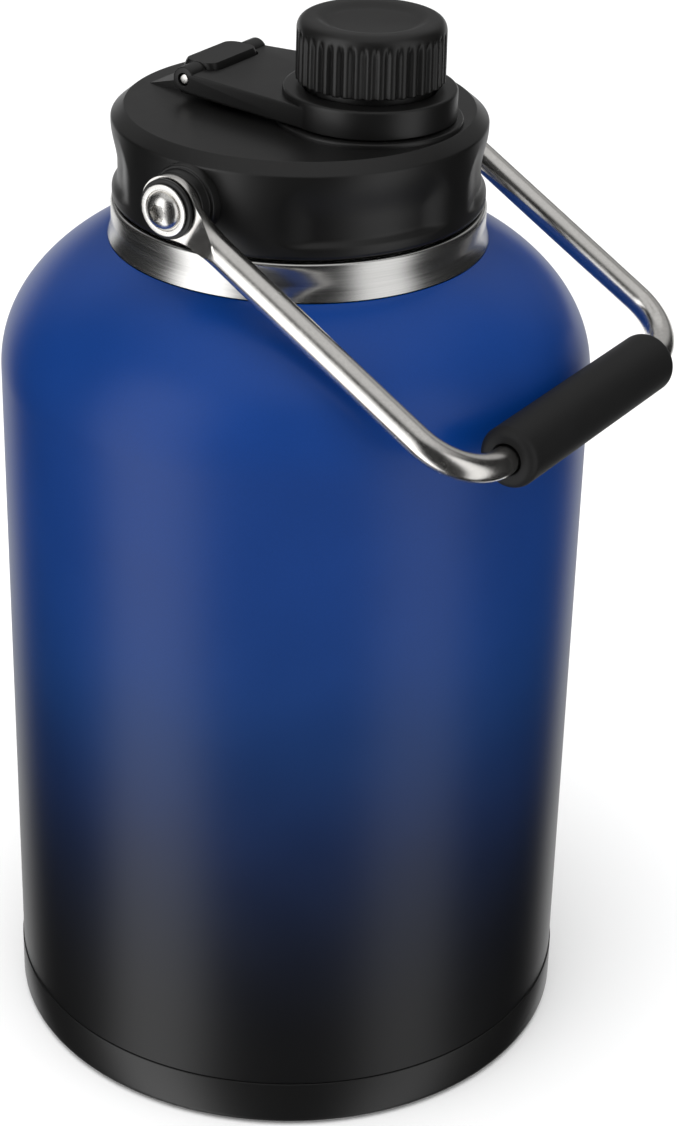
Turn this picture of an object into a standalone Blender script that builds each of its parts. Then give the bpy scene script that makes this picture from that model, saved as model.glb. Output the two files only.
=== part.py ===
"""One-gallon insulated steel jug with a screw-in lid, a hinged chug cap and a swinging bail handle.

Origin: centre of the base, on the surface the jug stands on. +Z up, +X towards the pour cap,
Y along the handle's pivots. Metres.
"""
import math

import bmesh
import bpy
from mathutils import Matrix, Vector, geometry

# ---- vessel -------------------------------------------------------------------------------
body_radius = 0.0800
shoulder_start = 0.2000          # height where the straight wall ends
shoulder_rise = 0.0368           # from there up to the neck
shoulder_round_out = 1.62        # exponents of the shoulder's rounded outline
shoulder_round_up = 0.953
shell_wall = 0.0008
vacuum_gap = 0.0050
base_height = 0.0143             # the welded bottom cup, up to its seam
base_wall = 0.0014
base_proud = 0.0003              # the cup stands this far outside the shell
base_edge_radius = 0.0024
base_spigot = 0.0060             # the cup's inner lip that reaches up into the shell
base_spigot_wall = 0.0012
base_inner_corner = 0.0030
liner_floor = 0.0100             # underside of the liner
liner_corner = 0.0120
neck_bore = 0.0446
neck_thickness = 0.0052          # from the bore to the outside of the steel neck band
neck_flare = 0.0009
neck_flare_rise = 0.0045
neck_rise = 0.0102               # from the shoulder up to the rim
neck_edge_radius = 0.0010
shell_turn_in = 0.0012           # the shell's inner edge lies this far inside its neck
lip_width = 0.0026
lip_height = 0.0015
getter_radius = 0.0110
getter_height = 0.0024

# ---- lid ----------------------------------------------------------------------------------
lid_set_in = 0.0004              # the lid's wall lies this far inside the neck band's
lid_height = 0.0251
lid_wall = 0.0030
lid_chamfer_in = 0.0035
lid_chamfer_down = 0.0029
lid_edge_in = 0.0006             # small bevel below the chamfer
lid_edge_rise = 0.0010
lid_inner_corner = 0.0015
lid_foot_radius = 0.0016
recess_depth = 0.0016
recess_low = 0.0032              # above the lid's lower rim
recess_margin = 0.0012           # below the chamfer
recess_lean = 0.0006             # the scoop gets this much shallower towards its top
recess_start = math.radians(4.0)
recess_end = math.radians(63.0)
platform_rim = 0.0017            # platform's width outside the arm's ring
platform_height = 0.0013
platform_edge = 0.0006
platform_margin = 0.0003         # between the platform and the lid's chamfer
plug_depth = 0.0250              # how far the plug reaches below the neck's top
plug_wall = 0.0025
plug_corner = 0.0015
plug_flange = 0.0030
gasket_height = 0.0020
gasket_ring = 0.0030
gasket_bulge = 0.0005

# ---- lid thread ---------------------------------------------------------------------------
lid_lead = 0.0060
lid_thread_depth = 0.0017
lid_thread_base = 0.0024         # width of a ridge at its foot
lid_thread_crest = 0.0014
lid_thread_turns = 1.25
lid_thread_clear = 0.0005        # radial gap from a crest to the opposite root
lid_thread_drop = 0.0125         # foot of the neck's thread, below the rim

# ---- spout and pour cap -------------------------------------------------------------------
spout_bore = 0.0110
spout_wall = 0.0022
spout_edge = 0.0006
spout_height = 0.0078            # above the platform
cap_lead = 0.0040
cap_thread_depth = 0.0011
cap_thread_base = 0.0016
cap_thread_crest = 0.0009
cap_thread_turns = 0.9
cap_thread_clear = 0.0005
cap_thread_rise = 0.0024         # foot of the spout's thread, above the platform
cap_height = 0.0160
cap_wall = 0.0022
cap_shoulder_in = 0.0019         # rounded top edge: how far in and down it starts
cap_shoulder_down = 0.0032
cap_top_wall = 0.0022
cap_rim_width = 0.0019
cap_dish_slope = 0.0054
cap_dish_depth = 0.0012
cap_ribs = 40
cap_rib_depth = 0.0008
core_wall = 0.0019
core_flange_out = 0.0028         # flange width outside the core's wall
core_flange_height = 0.0014
core_roof = 0.0018
seal_height = 0.0020
seal_clear = 0.0004              # round the seal, inside the cap core

# ---- hinged arm ---------------------------------------------------------------------------
arm_thickness = 0.0056
arm_half_width = 0.0167
arm_lift = 0.0003                # arm's underside above the platform
ring_lift = 0.0001               # ring and cap core above the arm's underside
ring_wall = 0.0027
ring_height = 0.0075
ring_lip = 0.0021
ring_edge = 0.0008
ring_to_cap = 0.0017             # open height between the ring and the cap's skirt
hinge_inset = 0.0204             # hinge axis, in from the lid's chamfer
hinge_drop = 0.0017              # hinge axis below the arm's top face
knuckle_radius = 0.0033
lug_half_width = 0.0105
lug_reach = 0.0057
lug_rise = 0.0033
lug_tail = 0.0155
lug_tail_rise = 0.0025
lug_corner = 0.0028
lug_root = 0.0019
lug_inset = 0.0001               # the lug's foot stays this far inside its barrel
pin_radius = 0.00145
pin_recess = 0.0003

# ---- bail handle --------------------------------------------------------------------------
pivot_rise = 0.0131              # pivots above the lid's lower rim
handle_length = 0.1017
handle_bend = 0.0166
rest_clear = 0.00057             # between the resting grip and the shoulder
rod_radius = 0.00375
eye_radius = 0.0083
eye_thickness = 0.0024
eye_root = 0.0040                # where the flattened rod starts inside the eye
eye_taper_start = 0.0075
eye_taper_end = 0.0165
grip_radius = 0.0081
grip_margin = 0.00195            # from each end of the grip to the start of the rod's bend
grip_edge = 0.0022
boss_radius = 0.0084
boss_step_radius = 0.0094
boss_step = 0.0022               # outer step's projection from the lid wall
boss_reach = 0.00535             # boss face's projection from the lid wall
sleeve_wall = 0.0018
bush_flange_radius = 0.0077
bush_flange = 0.0010
screw_radius = 0.0025
screw_flange_radius = 0.00666
screw_flange = 0.0007
screw_dome_radius = 0.0049
screw_dome = 0.0029
screw_length = 0.0120
hex_flats = 0.0020               # half the distance across the socket's flats
hex_depth = 0.0022
insert_radius = 0.0039
insert_length = 0.0080
pocket_shell = 0.0026
pocket_floor = 0.0012

# ---- fits, small edges and smoothness ------------------------------------------------------------------
gap = 0.0003
small_edge = 0.0003              # bevel on the pins, eyes and screw heads
cut_extra = 0.0020               # how far a cutting shape reaches past what it cuts
big_steps = 56
lid_steps = 48
mid_steps = 32
small_steps = 20

# ---- places that follow from the sizes ----------------------------------------------------
shoulder_top = shoulder_start + shoulder_rise
neck_top = shoulder_top + neck_rise
neck_radius = neck_bore + neck_thickness
neck_foot = neck_radius + neck_flare
lip_outer = neck_bore + shell_wall + lip_width
liner_radius = body_radius - shell_wall - vacuum_gap
lid_radius = neck_radius - lid_set_in
lid_top_radius = lid_radius - lid_chamfer_in
lid_low = neck_top + gap
lid_top = lid_low + lid_height
cover_in = lid_radius - lid_wall
plug_root = neck_bore - lid_thread_clear - lid_thread_depth
plug_low = neck_top - plug_depth
gasket_in = plug_root + gap
gasket_out = gasket_in + gasket_ring
flange_low = lid_low + gasket_height + gap
flange_top = flange_low + plug_flange
platform_top = lid_top + platform_height
arm_low = platform_top + arm_lift
arm_top = arm_low + arm_thickness
ring_low = arm_low + ring_lift
ring_top = arm_low + ring_height
spout_top = platform_top + spout_height
spout_radius = spout_bore + spout_wall
spout_crest = spout_radius + cap_thread_depth
spout_thread = platform_top + cap_thread_rise
core_bore = spout_crest + cap_thread_clear
core_radius = core_bore + core_wall
core_flange = core_radius + core_flange_out
core_low = ring_low
seal_low = spout_top + gap
roof_low = seal_low + seal_height + gap
cap_inner = core_radius + gap
cap_radius = cap_inner + cap_wall
cap_low = ring_top + ring_to_cap
cap_top = cap_low + cap_height
ring_chamber = core_flange + gap
ring_radius = ring_chamber + ring_wall
platform_radius = ring_radius + platform_rim
cap_offset = lid_top_radius - platform_radius - platform_margin   # cap axis, from the jug's
hinge_x = hinge_inset - lid_top_radius
hinge_z = arm_top - hinge_drop
pivot_height = lid_low + pivot_rise
boss_face = lid_radius + boss_reach
eye_inner = boss_face + gap
eye_outer = eye_inner + eye_thickness
handle_half_width = (eye_inner + eye_outer) / 2
grip_half_length = handle_half_width - handle_bend - grip_margin
bush_face = eye_outer + gap
screw_face = bush_face + bush_flange + gap
sleeve_radius = screw_radius + gap + sleeve_wall
screw_bore = screw_radius + gap
insert_face = boss_face - gap
screw_end = screw_face - screw_length
pocket_bottom = min(insert_face - insert_length, screw_end) - gap


def clear_scene():
    for item in list(bpy.data.objects):
        bpy.data.objects.remove(item, do_unlink=True)


def make_material(name, colour, roughness, metallic):
    material = bpy.data.materials.new(name)
    material.use_nodes = True
    shader = material.node_tree.nodes["Principled BSDF"]
    shader.inputs["Base Color"].default_value = (*colour, 1.0)
    shader.inputs["Roughness"].default_value = roughness
    shader.inputs["Metallic"].default_value = metallic
    return material


def make_object(name, bm, material=None, parent=None):
    """Turn a bmesh drawn in world coordinates into a smooth-shaded object."""
    bmesh.ops.remove_doubles(bm, verts=bm.verts, dist=1e-7)
    bmesh.ops.recalc_face_normals(bm, faces=bm.faces)
    mesh = bpy.data.meshes.new(name)
    bm.to_mesh(mesh)
    bm.free()
    mesh.shade_smooth()
    mesh.set_sharp_from_angle(angle=math.radians(35))
    item = bpy.data.objects.new(name, mesh)
    bpy.context.scene.collection.objects.link(item)
    if material:
        mesh.materials.append(material)
    if parent:
        item.parent = parent
        mesh.transform(Matrix.Translation(-parent.location))
    return item


def make_pivot(name, x, y, z):
    pivot = bpy.data.objects.new(name, None)
    pivot.location = (x, y, z)
    bpy.context.scene.collection.objects.link(pivot)
    return pivot


def apply_shape(target, other, operation):
    """Join or cut target with another shape, which becomes a hidden guide."""
    other.hide_render = True
    other.display_type = "WIRE"
    step = target.modifiers.new(other.name, "BOOLEAN")
    step.operation = operation
    step.solver = "EXACT"
    step.object = other


def weld_slivers(item):
    """Close the hair-thin edges that a chain of cuts leaves behind."""
    step = item.modifiers.new("weld", "WELD")
    step.merge_threshold = 0.000004


def cut(target, other):
    apply_shape(target, other, "DIFFERENCE")


def join(target, other):
    apply_shape(target, other, "UNION")


def arc(centre, radius, start, end, steps):
    """Points on a circular arc in the (radius, height) plane; angles in degrees."""
    points = []
    for i in range(steps + 1):
        angle = math.radians(start + (end - start) * i / steps)
        points.append((centre[0] + radius * math.cos(angle), centre[1] + radius * math.sin(angle)))
    return points


def turned(profile, steps, x=0.0, start=0.0, sweep=math.tau):
    """Spin a closed (radius, height) outline about a vertical axis at the given x."""
    bm = bmesh.new()
    verts = [bm.verts.new((r * math.cos(start), r * math.sin(start), z)) for r, z in profile]
    full = abs(sweep - math.tau) < 1e-9
    pairs = zip(verts, verts[1:] + verts[:1])
    edges = [bm.edges.new((a, b)) for a, b in pairs if a.co.xy.length + b.co.xy.length > 1e-9]
    faces = [] if full else [bm.faces.new(verts)]
    spun = bmesh.ops.spin(bm, geom=verts + edges, cent=(0, 0, 0), axis=(0, 0, 1), angle=sweep,
                          steps=steps, use_merge=full)
    if faces:
        last = [item for item in spun["geom_last"] if isinstance(item, bmesh.types.BMVert)]
        bm.faces.new(last)
    bmesh.ops.translate(bm, verts=bm.verts, vec=(x, 0, 0))
    return bm


def turned_on_y(profile, steps, x, z, side=1):
    """Spin a (radius, distance) outline about a sideways axis through (x, z)."""
    bm = turned(profile, steps)
    turn = Matrix.Translation((x, 0, z)) @ Matrix.Rotation(math.radians(-90 * side), 4, "X")
    bmesh.ops.transform(bm, matrix=turn, verts=bm.verts)
    return bm


def cylinder(radius, low, high):
    return [(0, low), (radius, low), (radius, high), (0, high)]


def tube(inner, outer, low, high):
    return [(inner, low), (outer, low), (outer, high), (inner, high)]


def extruded(outline, low, high, axis="Z"):
    """Extrude a flat outline along Z, or an (x, z) outline along Y."""
    bm = bmesh.new()
    if axis == "Z":
        verts = [bm.verts.new((a, b, low)) for a, b in outline]
        shift = (0, 0, high - low)
    else:
        verts = [bm.verts.new((a, low, b)) for a, b in outline]
        shift = (0, high - low, 0)
    face = bm.faces.new(verts)
    copy = bmesh.ops.extrude_face_region(bm, geom=[face])
    moved = [item for item in copy["geom"] if isinstance(item, bmesh.types.BMVert)]
    bmesh.ops.translate(bm, verts=moved, vec=shift)
    return bm


def helix_ridge(wall, crest, foot, tip, low, lead, turns, steps, x=0.0, start=0.0):
    """A right-handed thread ridge from inside a wall out to its crest, fading at both ends."""
    bm = bmesh.new()
    count = round(steps * turns)
    overlap = 0.0004 if crest > wall else -0.0004
    rings = []
    for i in range(count + 1):
        angle = start + math.tau * i / steps
        to_end = min(i, count - i) / steps
        fade = min(1.0, 0.15 + 6.0 * to_end)
        top = wall + (crest - wall) * fade
        z = low + lead * i / steps
        ring = []
        for radius, height in ((wall - overlap, -foot / 2), (top, -tip / 2),
                               (top, tip / 2), (wall - overlap, foot / 2)):
            place = (x + radius * math.cos(angle), radius * math.sin(angle), z + height)
            ring.append(bm.verts.new(place))
        rings.append(ring)
    for a, b in zip(rings, rings[1:]):
        for k in range(4):
            bm.faces.new((a[k], a[(k + 1) % 4], b[(k + 1) % 4], b[k]))
    bm.faces.new(rings[0])
    bm.faces.new(rings[-1])
    bmesh.ops.triangulate(bm, faces=bm.faces)
    return bm


def shoulder_curve(outer, inner, low, high, steps):
    """The shoulder's outline: straight wall turning in to the neck."""
    points = []
    for i in range(steps + 1):
        t = math.pi / 2 * i / steps
        r = inner + (outer - inner) * math.cos(t) ** shoulder_round_out
        z = low + (high - low) * math.sin(t) ** shoulder_round_up
        points.append((r, z))
    return points


def build_outer_shell(material):
    low = base_height + gap
    outer = shoulder_curve(body_radius, neck_foot, shoulder_start, shoulder_top, 8)
    inner = shoulder_curve(body_radius - shell_wall, neck_foot - shell_turn_in, shoulder_start,
                           shoulder_top - shell_wall, 6)
    profile = [(body_radius, low)] + outer + inner[::-1] + [(body_radius - shell_wall, low)]
    make_object("outer_shell", turned(profile, big_steps), material)


def build_base_cup(material):
    rim = body_radius + base_proud
    spigot = body_radius - shell_wall - gap
    corner = (rim - base_edge_radius, base_edge_radius)
    profile = [(0, 0)] + arc(corner, base_edge_radius, -90, 0, 4)
    profile += [(rim, base_height), (spigot, base_height), (spigot, base_height + base_spigot)]
    inside = spigot - base_spigot_wall
    profile += [(inside, base_height + base_spigot)]
    inner_corner = (inside - base_inner_corner, base_wall + base_inner_corner)
    profile += arc(inner_corner, base_inner_corner, 0, -90, 3) + [(0, base_wall)]
    make_object("base_cup", turned(profile, big_steps), material)


def liner_profile():
    wall = shell_wall
    neck = neck_bore + wall
    low = shoulder_start - vacuum_gap
    high = shoulder_top - vacuum_gap
    corner = (liner_radius - liner_corner, liner_floor + liner_corner)
    outer = [(0, liner_floor)] + arc(corner, liner_corner, -90, 0, 3)
    outer += shoulder_curve(liner_radius, neck, low, high, 5)
    lip_low = neck_top - lip_height
    lip = [(neck, lip_low), (lip_outer, lip_low), (lip_outer, neck_top),
           (neck_bore + neck_edge_radius, neck_top), (neck_bore, neck_top - neck_edge_radius)]
    inner = shoulder_curve(liner_radius - wall, neck_bore, low, high - wall, 6)[::-1]
    inner += arc(corner, liner_corner - wall, 0, -90, 3) + [(0, liner_floor + wall)]
    return outer + lip + inner


def build_inner_liner(material):
    item = make_object("inner_liner", turned(liner_profile(), lid_steps), material)
    crest = neck_bore - lid_thread_depth
    ridge = helix_ridge(neck_bore, crest, lid_thread_base, lid_thread_crest,
                        neck_top - lid_thread_drop, lid_lead, lid_thread_turns, lid_steps)
    join(item, make_object("neck_thread", ridge))
    weld_slivers(item)


def build_neck_band(material):
    low = shoulder_top + gap
    inner = neck_bore + shell_wall + gap
    seat = neck_top - lip_height - gap
    edge = (neck_radius - neck_edge_radius, neck_top - neck_edge_radius)
    profile = [(inner, low), (neck_foot, low),
               (neck_radius + neck_flare * 0.22, low + neck_flare_rise * 0.49),
               (neck_radius, low + neck_flare_rise)]
    profile += arc(edge, neck_edge_radius, 0, 90, 3)
    profile += [(lip_outer + gap, neck_top), (lip_outer + gap, seat), (inner, seat)]
    make_object("neck_band", turned(profile, big_steps), material)


def build_getter(material):
    high = liner_floor - gap
    profile = cylinder(getter_radius, high - getter_height, high)
    make_object("getter", turned(profile, small_steps), material)


def cover_profile():
    foot = (lid_radius - lid_foot_radius, lid_low + lid_foot_radius)
    roof = lid_top - lid_wall
    widest = lid_top - lid_chamfer_down
    profile = [(cover_in, lid_low)] + arc(foot, lid_foot_radius, -90, 0, 3)
    profile += [(lid_radius, widest), (lid_radius - lid_edge_in, widest + lid_edge_rise)]
    profile += [(lid_top_radius, lid_top), (0, lid_top), (0, roof)]
    profile += [(cover_in - lid_inner_corner, roof), (cover_in, roof - lid_inner_corner)]
    return profile


def finger_recess(index):
    """A scooped finger hold between a pivot boss and the cap's side of the lid."""
    low = lid_low + recess_low
    high = lid_top - lid_chamfer_down - recess_margin
    tall = high - low
    deep = lid_radius - recess_depth
    outside = lid_radius + cut_extra
    profile = [(outside, low), (lid_radius, low), (deep, low + tall * 0.1), (deep, low + tall * 0.34),
               (deep + recess_lean, low + tall * 0.67), (lid_radius, high), (outside, high)]
    quarter = math.radians(90) * index
    start = quarter + (recess_start if index % 2 == 0 else math.radians(90) - recess_end)
    bm = turned(profile, 8, start=start, sweep=recess_end - recess_start)
    return make_object(f"finger_recess_{index + 1}", bm)


def pivot_boss(side):
    name = "left" if side < 0 else "right"
    back = pocket_bottom - pocket_floor
    inner_part = insert_radius + pocket_shell
    step_face = lid_radius + boss_step
    profile = [(0, back), (inner_part, back), (inner_part, cover_in + 0.0003),
               (boss_step_radius, cover_in + 0.0008), (boss_step_radius, step_face - 0.0005),
               (boss_step_radius - 0.0005, step_face), (boss_radius, step_face),
               (boss_radius, boss_face - 0.0004), (boss_radius - 0.0004, boss_face), (0, boss_face)]
    bm = turned_on_y(profile, small_steps + 4, 0, pivot_height, side)
    return make_object(f"pivot_boss_{name}", bm)


def insert_pocket(side):
    name = "left" if side < 0 else "right"
    profile = cylinder(insert_radius + gap, pocket_bottom, boss_face + cut_extra)
    bm = turned_on_y(profile, small_steps, 0, pivot_height, side)
    return make_object(f"insert_pocket_{name}", bm)


def lug_plan(margin):
    """Plan of the lug, or with a margin the notch round it: U-shaped with rounded front corners."""
    half = lug_half_width + margin
    corner = lug_corner + margin
    front = hinge_x + lug_reach + margin
    back = hinge_x - lug_tail - 0.001
    outline = [(back, -half)] + arc((front - corner, -half + corner), corner, -90, 0, 4)
    return outline + arc((front - corner, half - corner), corner, 0, 90, 4) + [(back, half)]


def hinge_lug():
    """The middle hinge lug: a barrel about the hinge axis, flat on top, on a foot that slopes away."""
    side = lug_half_width - lug_corner
    round_part = lug_reach - lug_corner
    corner = arc((round_part, side), lug_corner, 0, 90, 4)
    barrel = [(0, -lug_half_width)] + [(r, -y) for r, y in corner[::-1]]
    barrel += corner + [(0, lug_half_width)]
    lug = make_object("hinge_lug", turned_on_y(barrel, mid_steps, hinge_x, hinge_z))
    front = hinge_x + lug_reach + cut_extra / 2
    back = hinge_x - lug_reach - cut_extra / 2
    tail = hinge_x - lug_tail
    root = lid_top - lug_root
    foot = [(front, root), (front, hinge_z - lug_inset), (hinge_x, hinge_z - lug_inset),
            (hinge_x, lid_top + lug_tail_rise), (back, lid_top + lug_tail_rise),
            (tail, lid_top + lug_inset), (tail, root)]
    width = lug_half_width + cut_extra
    base = make_object("hinge_lug_foot", extruded(foot, -width, width, axis="Y"))
    plan = extruded(lug_plan(-lug_inset), root - cut_extra, hinge_z + lug_reach)
    apply_shape(base, make_object("hinge_lug_plan", plan), "INTERSECT")
    join(lug, base)
    flat = hinge_z + lug_rise
    high = hinge_z + lug_reach + cut_extra
    above = [(back, flat), (front, flat), (front, high), (back, high)]
    cut(lug, make_object("lug_flat", extruded(above, -width, width, axis="Y")))
    return lug


def pin_hole(name):
    """Bore for the hinge pin, right through both knuckles and the lug."""
    reach = arm_half_width + cut_extra
    bore = cylinder(pin_radius + gap, -reach, reach)
    return make_object(name, turned_on_y(bore, 16, hinge_x, hinge_z))


def build_lid_cover(material, lid_pivot):
    item = make_object("lid_cover", turned(cover_profile(), lid_steps), material, lid_pivot)
    root = lid_top - 0.0010
    raised = [(0, root), (platform_radius, root), (platform_radius, platform_top - platform_edge),
              (platform_radius - platform_edge, platform_top), (0, platform_top)]
    join(item, make_object("cap_platform", turned(raised, lid_steps, x=cap_offset)))
    join(item, hinge_lug())
    for index in range(4):
        cut(item, finger_recess(index))
    for side in (-1, 1):
        join(item, pivot_boss(side))
        cut(item, insert_pocket(side))
    hole = cylinder(spout_crest + gap, lid_low, platform_top + cut_extra)
    cut(item, make_object("spout_hole", turned(hole, mid_steps, x=cap_offset)))
    cut(item, pin_hole("lug_pin_hole"))
    weld_slivers(item)


def build_lid_plug(material, lid_pivot):
    inside = plug_root - plug_wall
    floor = plug_low + plug_wall
    cup = [(0, plug_low), (plug_root - plug_corner, plug_low), (plug_root, plug_low + plug_corner),
           (plug_root, flange_low), (cover_in - gap, flange_low), (cover_in - gap, flange_top),
           (inside, flange_top), (inside, floor), (0, floor)]
    item = make_object("lid_plug", turned(cup, lid_steps), material, lid_pivot)
    foot = plug_low + plug_wall / 5
    pipe = [(0, foot), (spout_radius, foot), (spout_radius, spout_top - spout_edge),
            (spout_radius - spout_edge, spout_top), (0, spout_top)]
    join(item, make_object("spout_pipe", turned(pipe, mid_steps, x=cap_offset)))
    way = cylinder(spout_bore, plug_low - cut_extra, spout_top + cut_extra)
    cut(item, make_object("spout_way", turned(way, mid_steps, x=cap_offset)))
    ridge = helix_ridge(plug_root, plug_root + lid_thread_depth, lid_thread_base, lid_thread_crest,
                        neck_top - lid_thread_drop - lid_lead / 2, lid_lead, lid_thread_turns,
                        lid_steps)
    join(item, make_object("plug_thread", ridge))
    ridge = helix_ridge(spout_radius, spout_crest, cap_thread_base, cap_thread_crest,
                        spout_thread, cap_lead, cap_thread_turns, mid_steps, x=cap_offset)
    join(item, make_object("spout_thread", ridge))
    weld_slivers(item)


def build_lid_foam(material, lid_pivot):
    radius = plug_root - plug_wall - gap
    low = plug_low + plug_wall + gap
    high = lid_top - lid_wall - gap
    disc = turned(cylinder(radius, low, high), lid_steps)
    foam = make_object("lid_foam", disc, material, lid_pivot)
    hole = cylinder(spout_radius + gap, low - cut_extra, high + cut_extra)
    cut(foam, make_object("foam_hole", turned(hole, mid_steps, x=cap_offset)))


def build_lid_gasket(material):
    high = lid_low + gasket_height
    shoulder = gasket_out - gasket_bulge
    profile = [(gasket_in, lid_low), (shoulder, lid_low), (gasket_out, lid_low + gasket_bulge),
               (gasket_out, high - gasket_bulge), (shoulder, high), (gasket_in, high)]
    make_object("lid_gasket", turned(profile, lid_steps), material)


def arm_outline():
    """Plan of the arm: straight sides from the hinge that run into the ring round the cap."""
    dx = cap_offset - hinge_x
    meet = ring_radius - 0.0003
    far = math.hypot(dx, arm_half_width)
    lean = math.asin(meet / far) - math.atan2(arm_half_width, dx)
    touch_x = cap_offset - meet * math.sin(lean)
    touch_y = meet * math.cos(lean)
    back = hinge_x - knuckle_radius / 3
    half = arm_half_width - 0.0002
    return [(back, -half), (touch_x, -touch_y), (touch_x, touch_y), (back, half)]


def build_hinge_arm(material, arm_pivot):
    item = make_object("hinge_arm", extruded(arm_outline(), arm_low, arm_top), material, arm_pivot)
    ring = [(0, ring_low), (ring_radius, ring_low), (ring_radius, ring_top - ring_edge),
            (ring_radius - ring_edge, ring_top), (0, ring_top)]
    join(item, make_object("cap_ring", turned(ring, lid_steps, x=cap_offset)))
    for side in (-1, 1):
        reach = cylinder(knuckle_radius, lug_half_width - cut_extra, arm_half_width)
        knuckle = turned_on_y(reach, small_steps, hinge_x, hinge_z, side)
        join(item, make_object(f"knuckle_{'left' if side < 0 else 'right'}", knuckle))
    below = arm_low - cut_extra
    above = ring_top + cut_extra
    cut(item, make_object("lug_notch", extruded(lug_plan(gap), below, above)))
    mouth = core_radius + gap
    step = ring_top - ring_lip
    bore = [(0, below), (ring_chamber, below), (ring_chamber, step), (mouth, step), (mouth, above),
            (0, above)]
    cut(item, pin_hole("arm_pin_hole"))
    cut(item, make_object("ring_bore", turned(bore, mid_steps, x=cap_offset)))
    weld_slivers(item)


def build_hinge_pin(material, lid_pivot):
    end = arm_half_width - pin_recess
    inner = pin_radius - small_edge
    profile = [(0, -end), (inner, -end), (pin_radius, -end + small_edge),
               (pin_radius, end - small_edge), (inner, end), (0, end)]
    make_object("hinge_pin", turned_on_y(profile, 16, hinge_x, hinge_z), material, lid_pivot)


def build_cap_shell(material, cap_pivot):
    edge = small_edge + 0.0001
    side_top = cap_top - cap_shoulder_down
    shoulder = cap_radius - cap_shoulder_in
    rim = shoulder - 0.0012
    dish = rim - cap_rim_width
    floor = cap_top - cap_dish_depth
    profile = [(cap_inner, cap_low), (cap_radius - edge, cap_low), (cap_radius, cap_low + edge),
               (cap_radius - 0.0001, side_top), (cap_radius - 0.0006, cap_top - 0.0015),
               (shoulder, cap_top - 0.0006), (rim, cap_top), (dish, cap_top),
               (dish - 0.0012, cap_top - cap_dish_depth * 0.7), (dish - cap_dish_slope, floor),
               (0, floor), (0, floor - cap_top_wall), (cap_inner, floor - cap_top_wall)]
    bm = turned(profile, cap_ribs * 2, x=cap_offset)
    for vert in bm.verts:
        away = Vector((vert.co.x - cap_offset, vert.co.y))
        step = round(math.atan2(away.y, away.x) / math.tau * cap_ribs * 2)
        on_side = away.length > cap_radius - 0.0010
        if step % 2 and on_side:
            away *= 1 - cap_rib_depth / away.length
            vert.co.x = cap_offset + away.x
            vert.co.y = away.y
    make_object("cap_shell", bm, material, cap_pivot)


def build_cap_core(material, cap_pivot):
    flange_high = core_low + core_flange_height
    roof_high = roof_low + core_roof
    profile = [(core_bore, core_low), (core_flange, core_low), (core_flange, flange_high),
               (core_radius, flange_high), (core_radius, roof_high), (0, roof_high), (0, roof_low),
               (core_bore, roof_low)]
    item = make_object("cap_core", turned(profile, mid_steps, x=cap_offset), material, cap_pivot)
    start = math.radians(90)
    ahead = cap_lead * start / math.tau
    ridge = helix_ridge(core_bore, core_bore - cap_thread_depth, cap_thread_base, cap_thread_crest,
                        spout_thread - cap_lead / 2 + ahead, cap_lead, cap_thread_turns, mid_steps,
                        x=cap_offset, start=start)
    join(item, make_object("core_thread", ridge))
    weld_slivers(item)


def build_cap_seal(material, seal_pivot):
    profile = cylinder(core_bore - seal_clear, seal_low, seal_low + seal_height)
    make_object("cap_seal", turned(profile, mid_steps, x=cap_offset), material, seal_pivot)


def rod_section(width, thickness, steps=12):
    """Cross-section of the rod, from flattened to round."""
    flat = 1.0 - thickness / width
    power = 1.0 - 0.45 * flat
    points = []
    for i in range(steps):
        angle = math.tau * i / steps
        c = math.cos(angle)
        s = math.sin(angle)
        points.append((width * math.copysign(abs(c) ** power, c),
                       thickness * math.copysign(abs(s) ** power, s)))
    return points


def rod_path():
    """Centre line in the handle's own plane: (side, reach, half width, half thickness)."""
    straight = handle_length - handle_bend
    flat = eye_thickness / 2
    middle = (eye_taper_start + eye_taper_end) / 2
    path = [(handle_half_width, eye_root, eye_radius - eye_root, flat),
            (handle_half_width, eye_taper_start, rod_radius * 1.6, flat),
            (handle_half_width, middle, rod_radius * 1.28, flat + 0.0008),
            (handle_half_width, eye_taper_end, rod_radius, rod_radius),
            (handle_half_width, straight, rod_radius, rod_radius)]
    bend = arc((handle_half_width - handle_bend, straight), handle_bend, 0, 90, 6)
    path += [(side, reach, rod_radius, rod_radius) for side, reach in bend[1:]]
    return path + [(-side, reach, w, t) for side, reach, w, t in path[::-1]]


def gap_to_shell(side, height):
    """Distance from a point, given by its radius and height, to the shell's outline."""
    point = Vector((side, height))
    outline = [(body_radius, 0.0)]
    outline += shoulder_curve(body_radius, neck_foot, shoulder_start, shoulder_top, big_steps)
    distances = []
    for a, b in zip(outline, outline[1:]):
        _, part = geometry.intersect_point_line(point, Vector(a), Vector(b))
        nearest = Vector(a).lerp(Vector(b), min(1.0, max(0.0, part)))
        distances.append((nearest - point).length)
    return min(distances)


def handle_room(angle):
    """Smallest distance from the tilted handle to the shell's outline."""
    places = [(side, reach, rod_radius) for side, reach, _, _ in rod_path()]
    straight = handle_length - handle_bend
    places += [(handle_half_width, straight * i / 12, rod_radius) for i in range(4, 12)]
    places.append((0.0, handle_length, grip_radius))
    rooms = []
    for side, reach, radius in places:
        out = math.hypot(reach * math.sin(angle), side)
        rooms.append(gap_to_shell(out, pivot_height - reach * math.cos(angle)) - radius)
    return min(rooms)


def resting_angle():
    """Tilt from straight down, towards +X, at which the handle lies on the shoulder."""
    high = math.radians(90)
    while handle_room(high - math.radians(2)) > rest_clear:
        high -= math.radians(2)
    low = high - math.radians(2)
    for _ in range(14):
        middle = (low + high) / 2
        if handle_room(middle) > rest_clear:
            high = middle
        else:
            low = middle
    return high


def handle_frame():
    """Reach direction of the hanging handle and the direction square to its plane."""
    reach = Vector((math.sin(handle_angle), 0, -math.cos(handle_angle)))
    square = Vector((math.cos(handle_angle), 0, math.sin(handle_angle)))
    return reach, square


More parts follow.
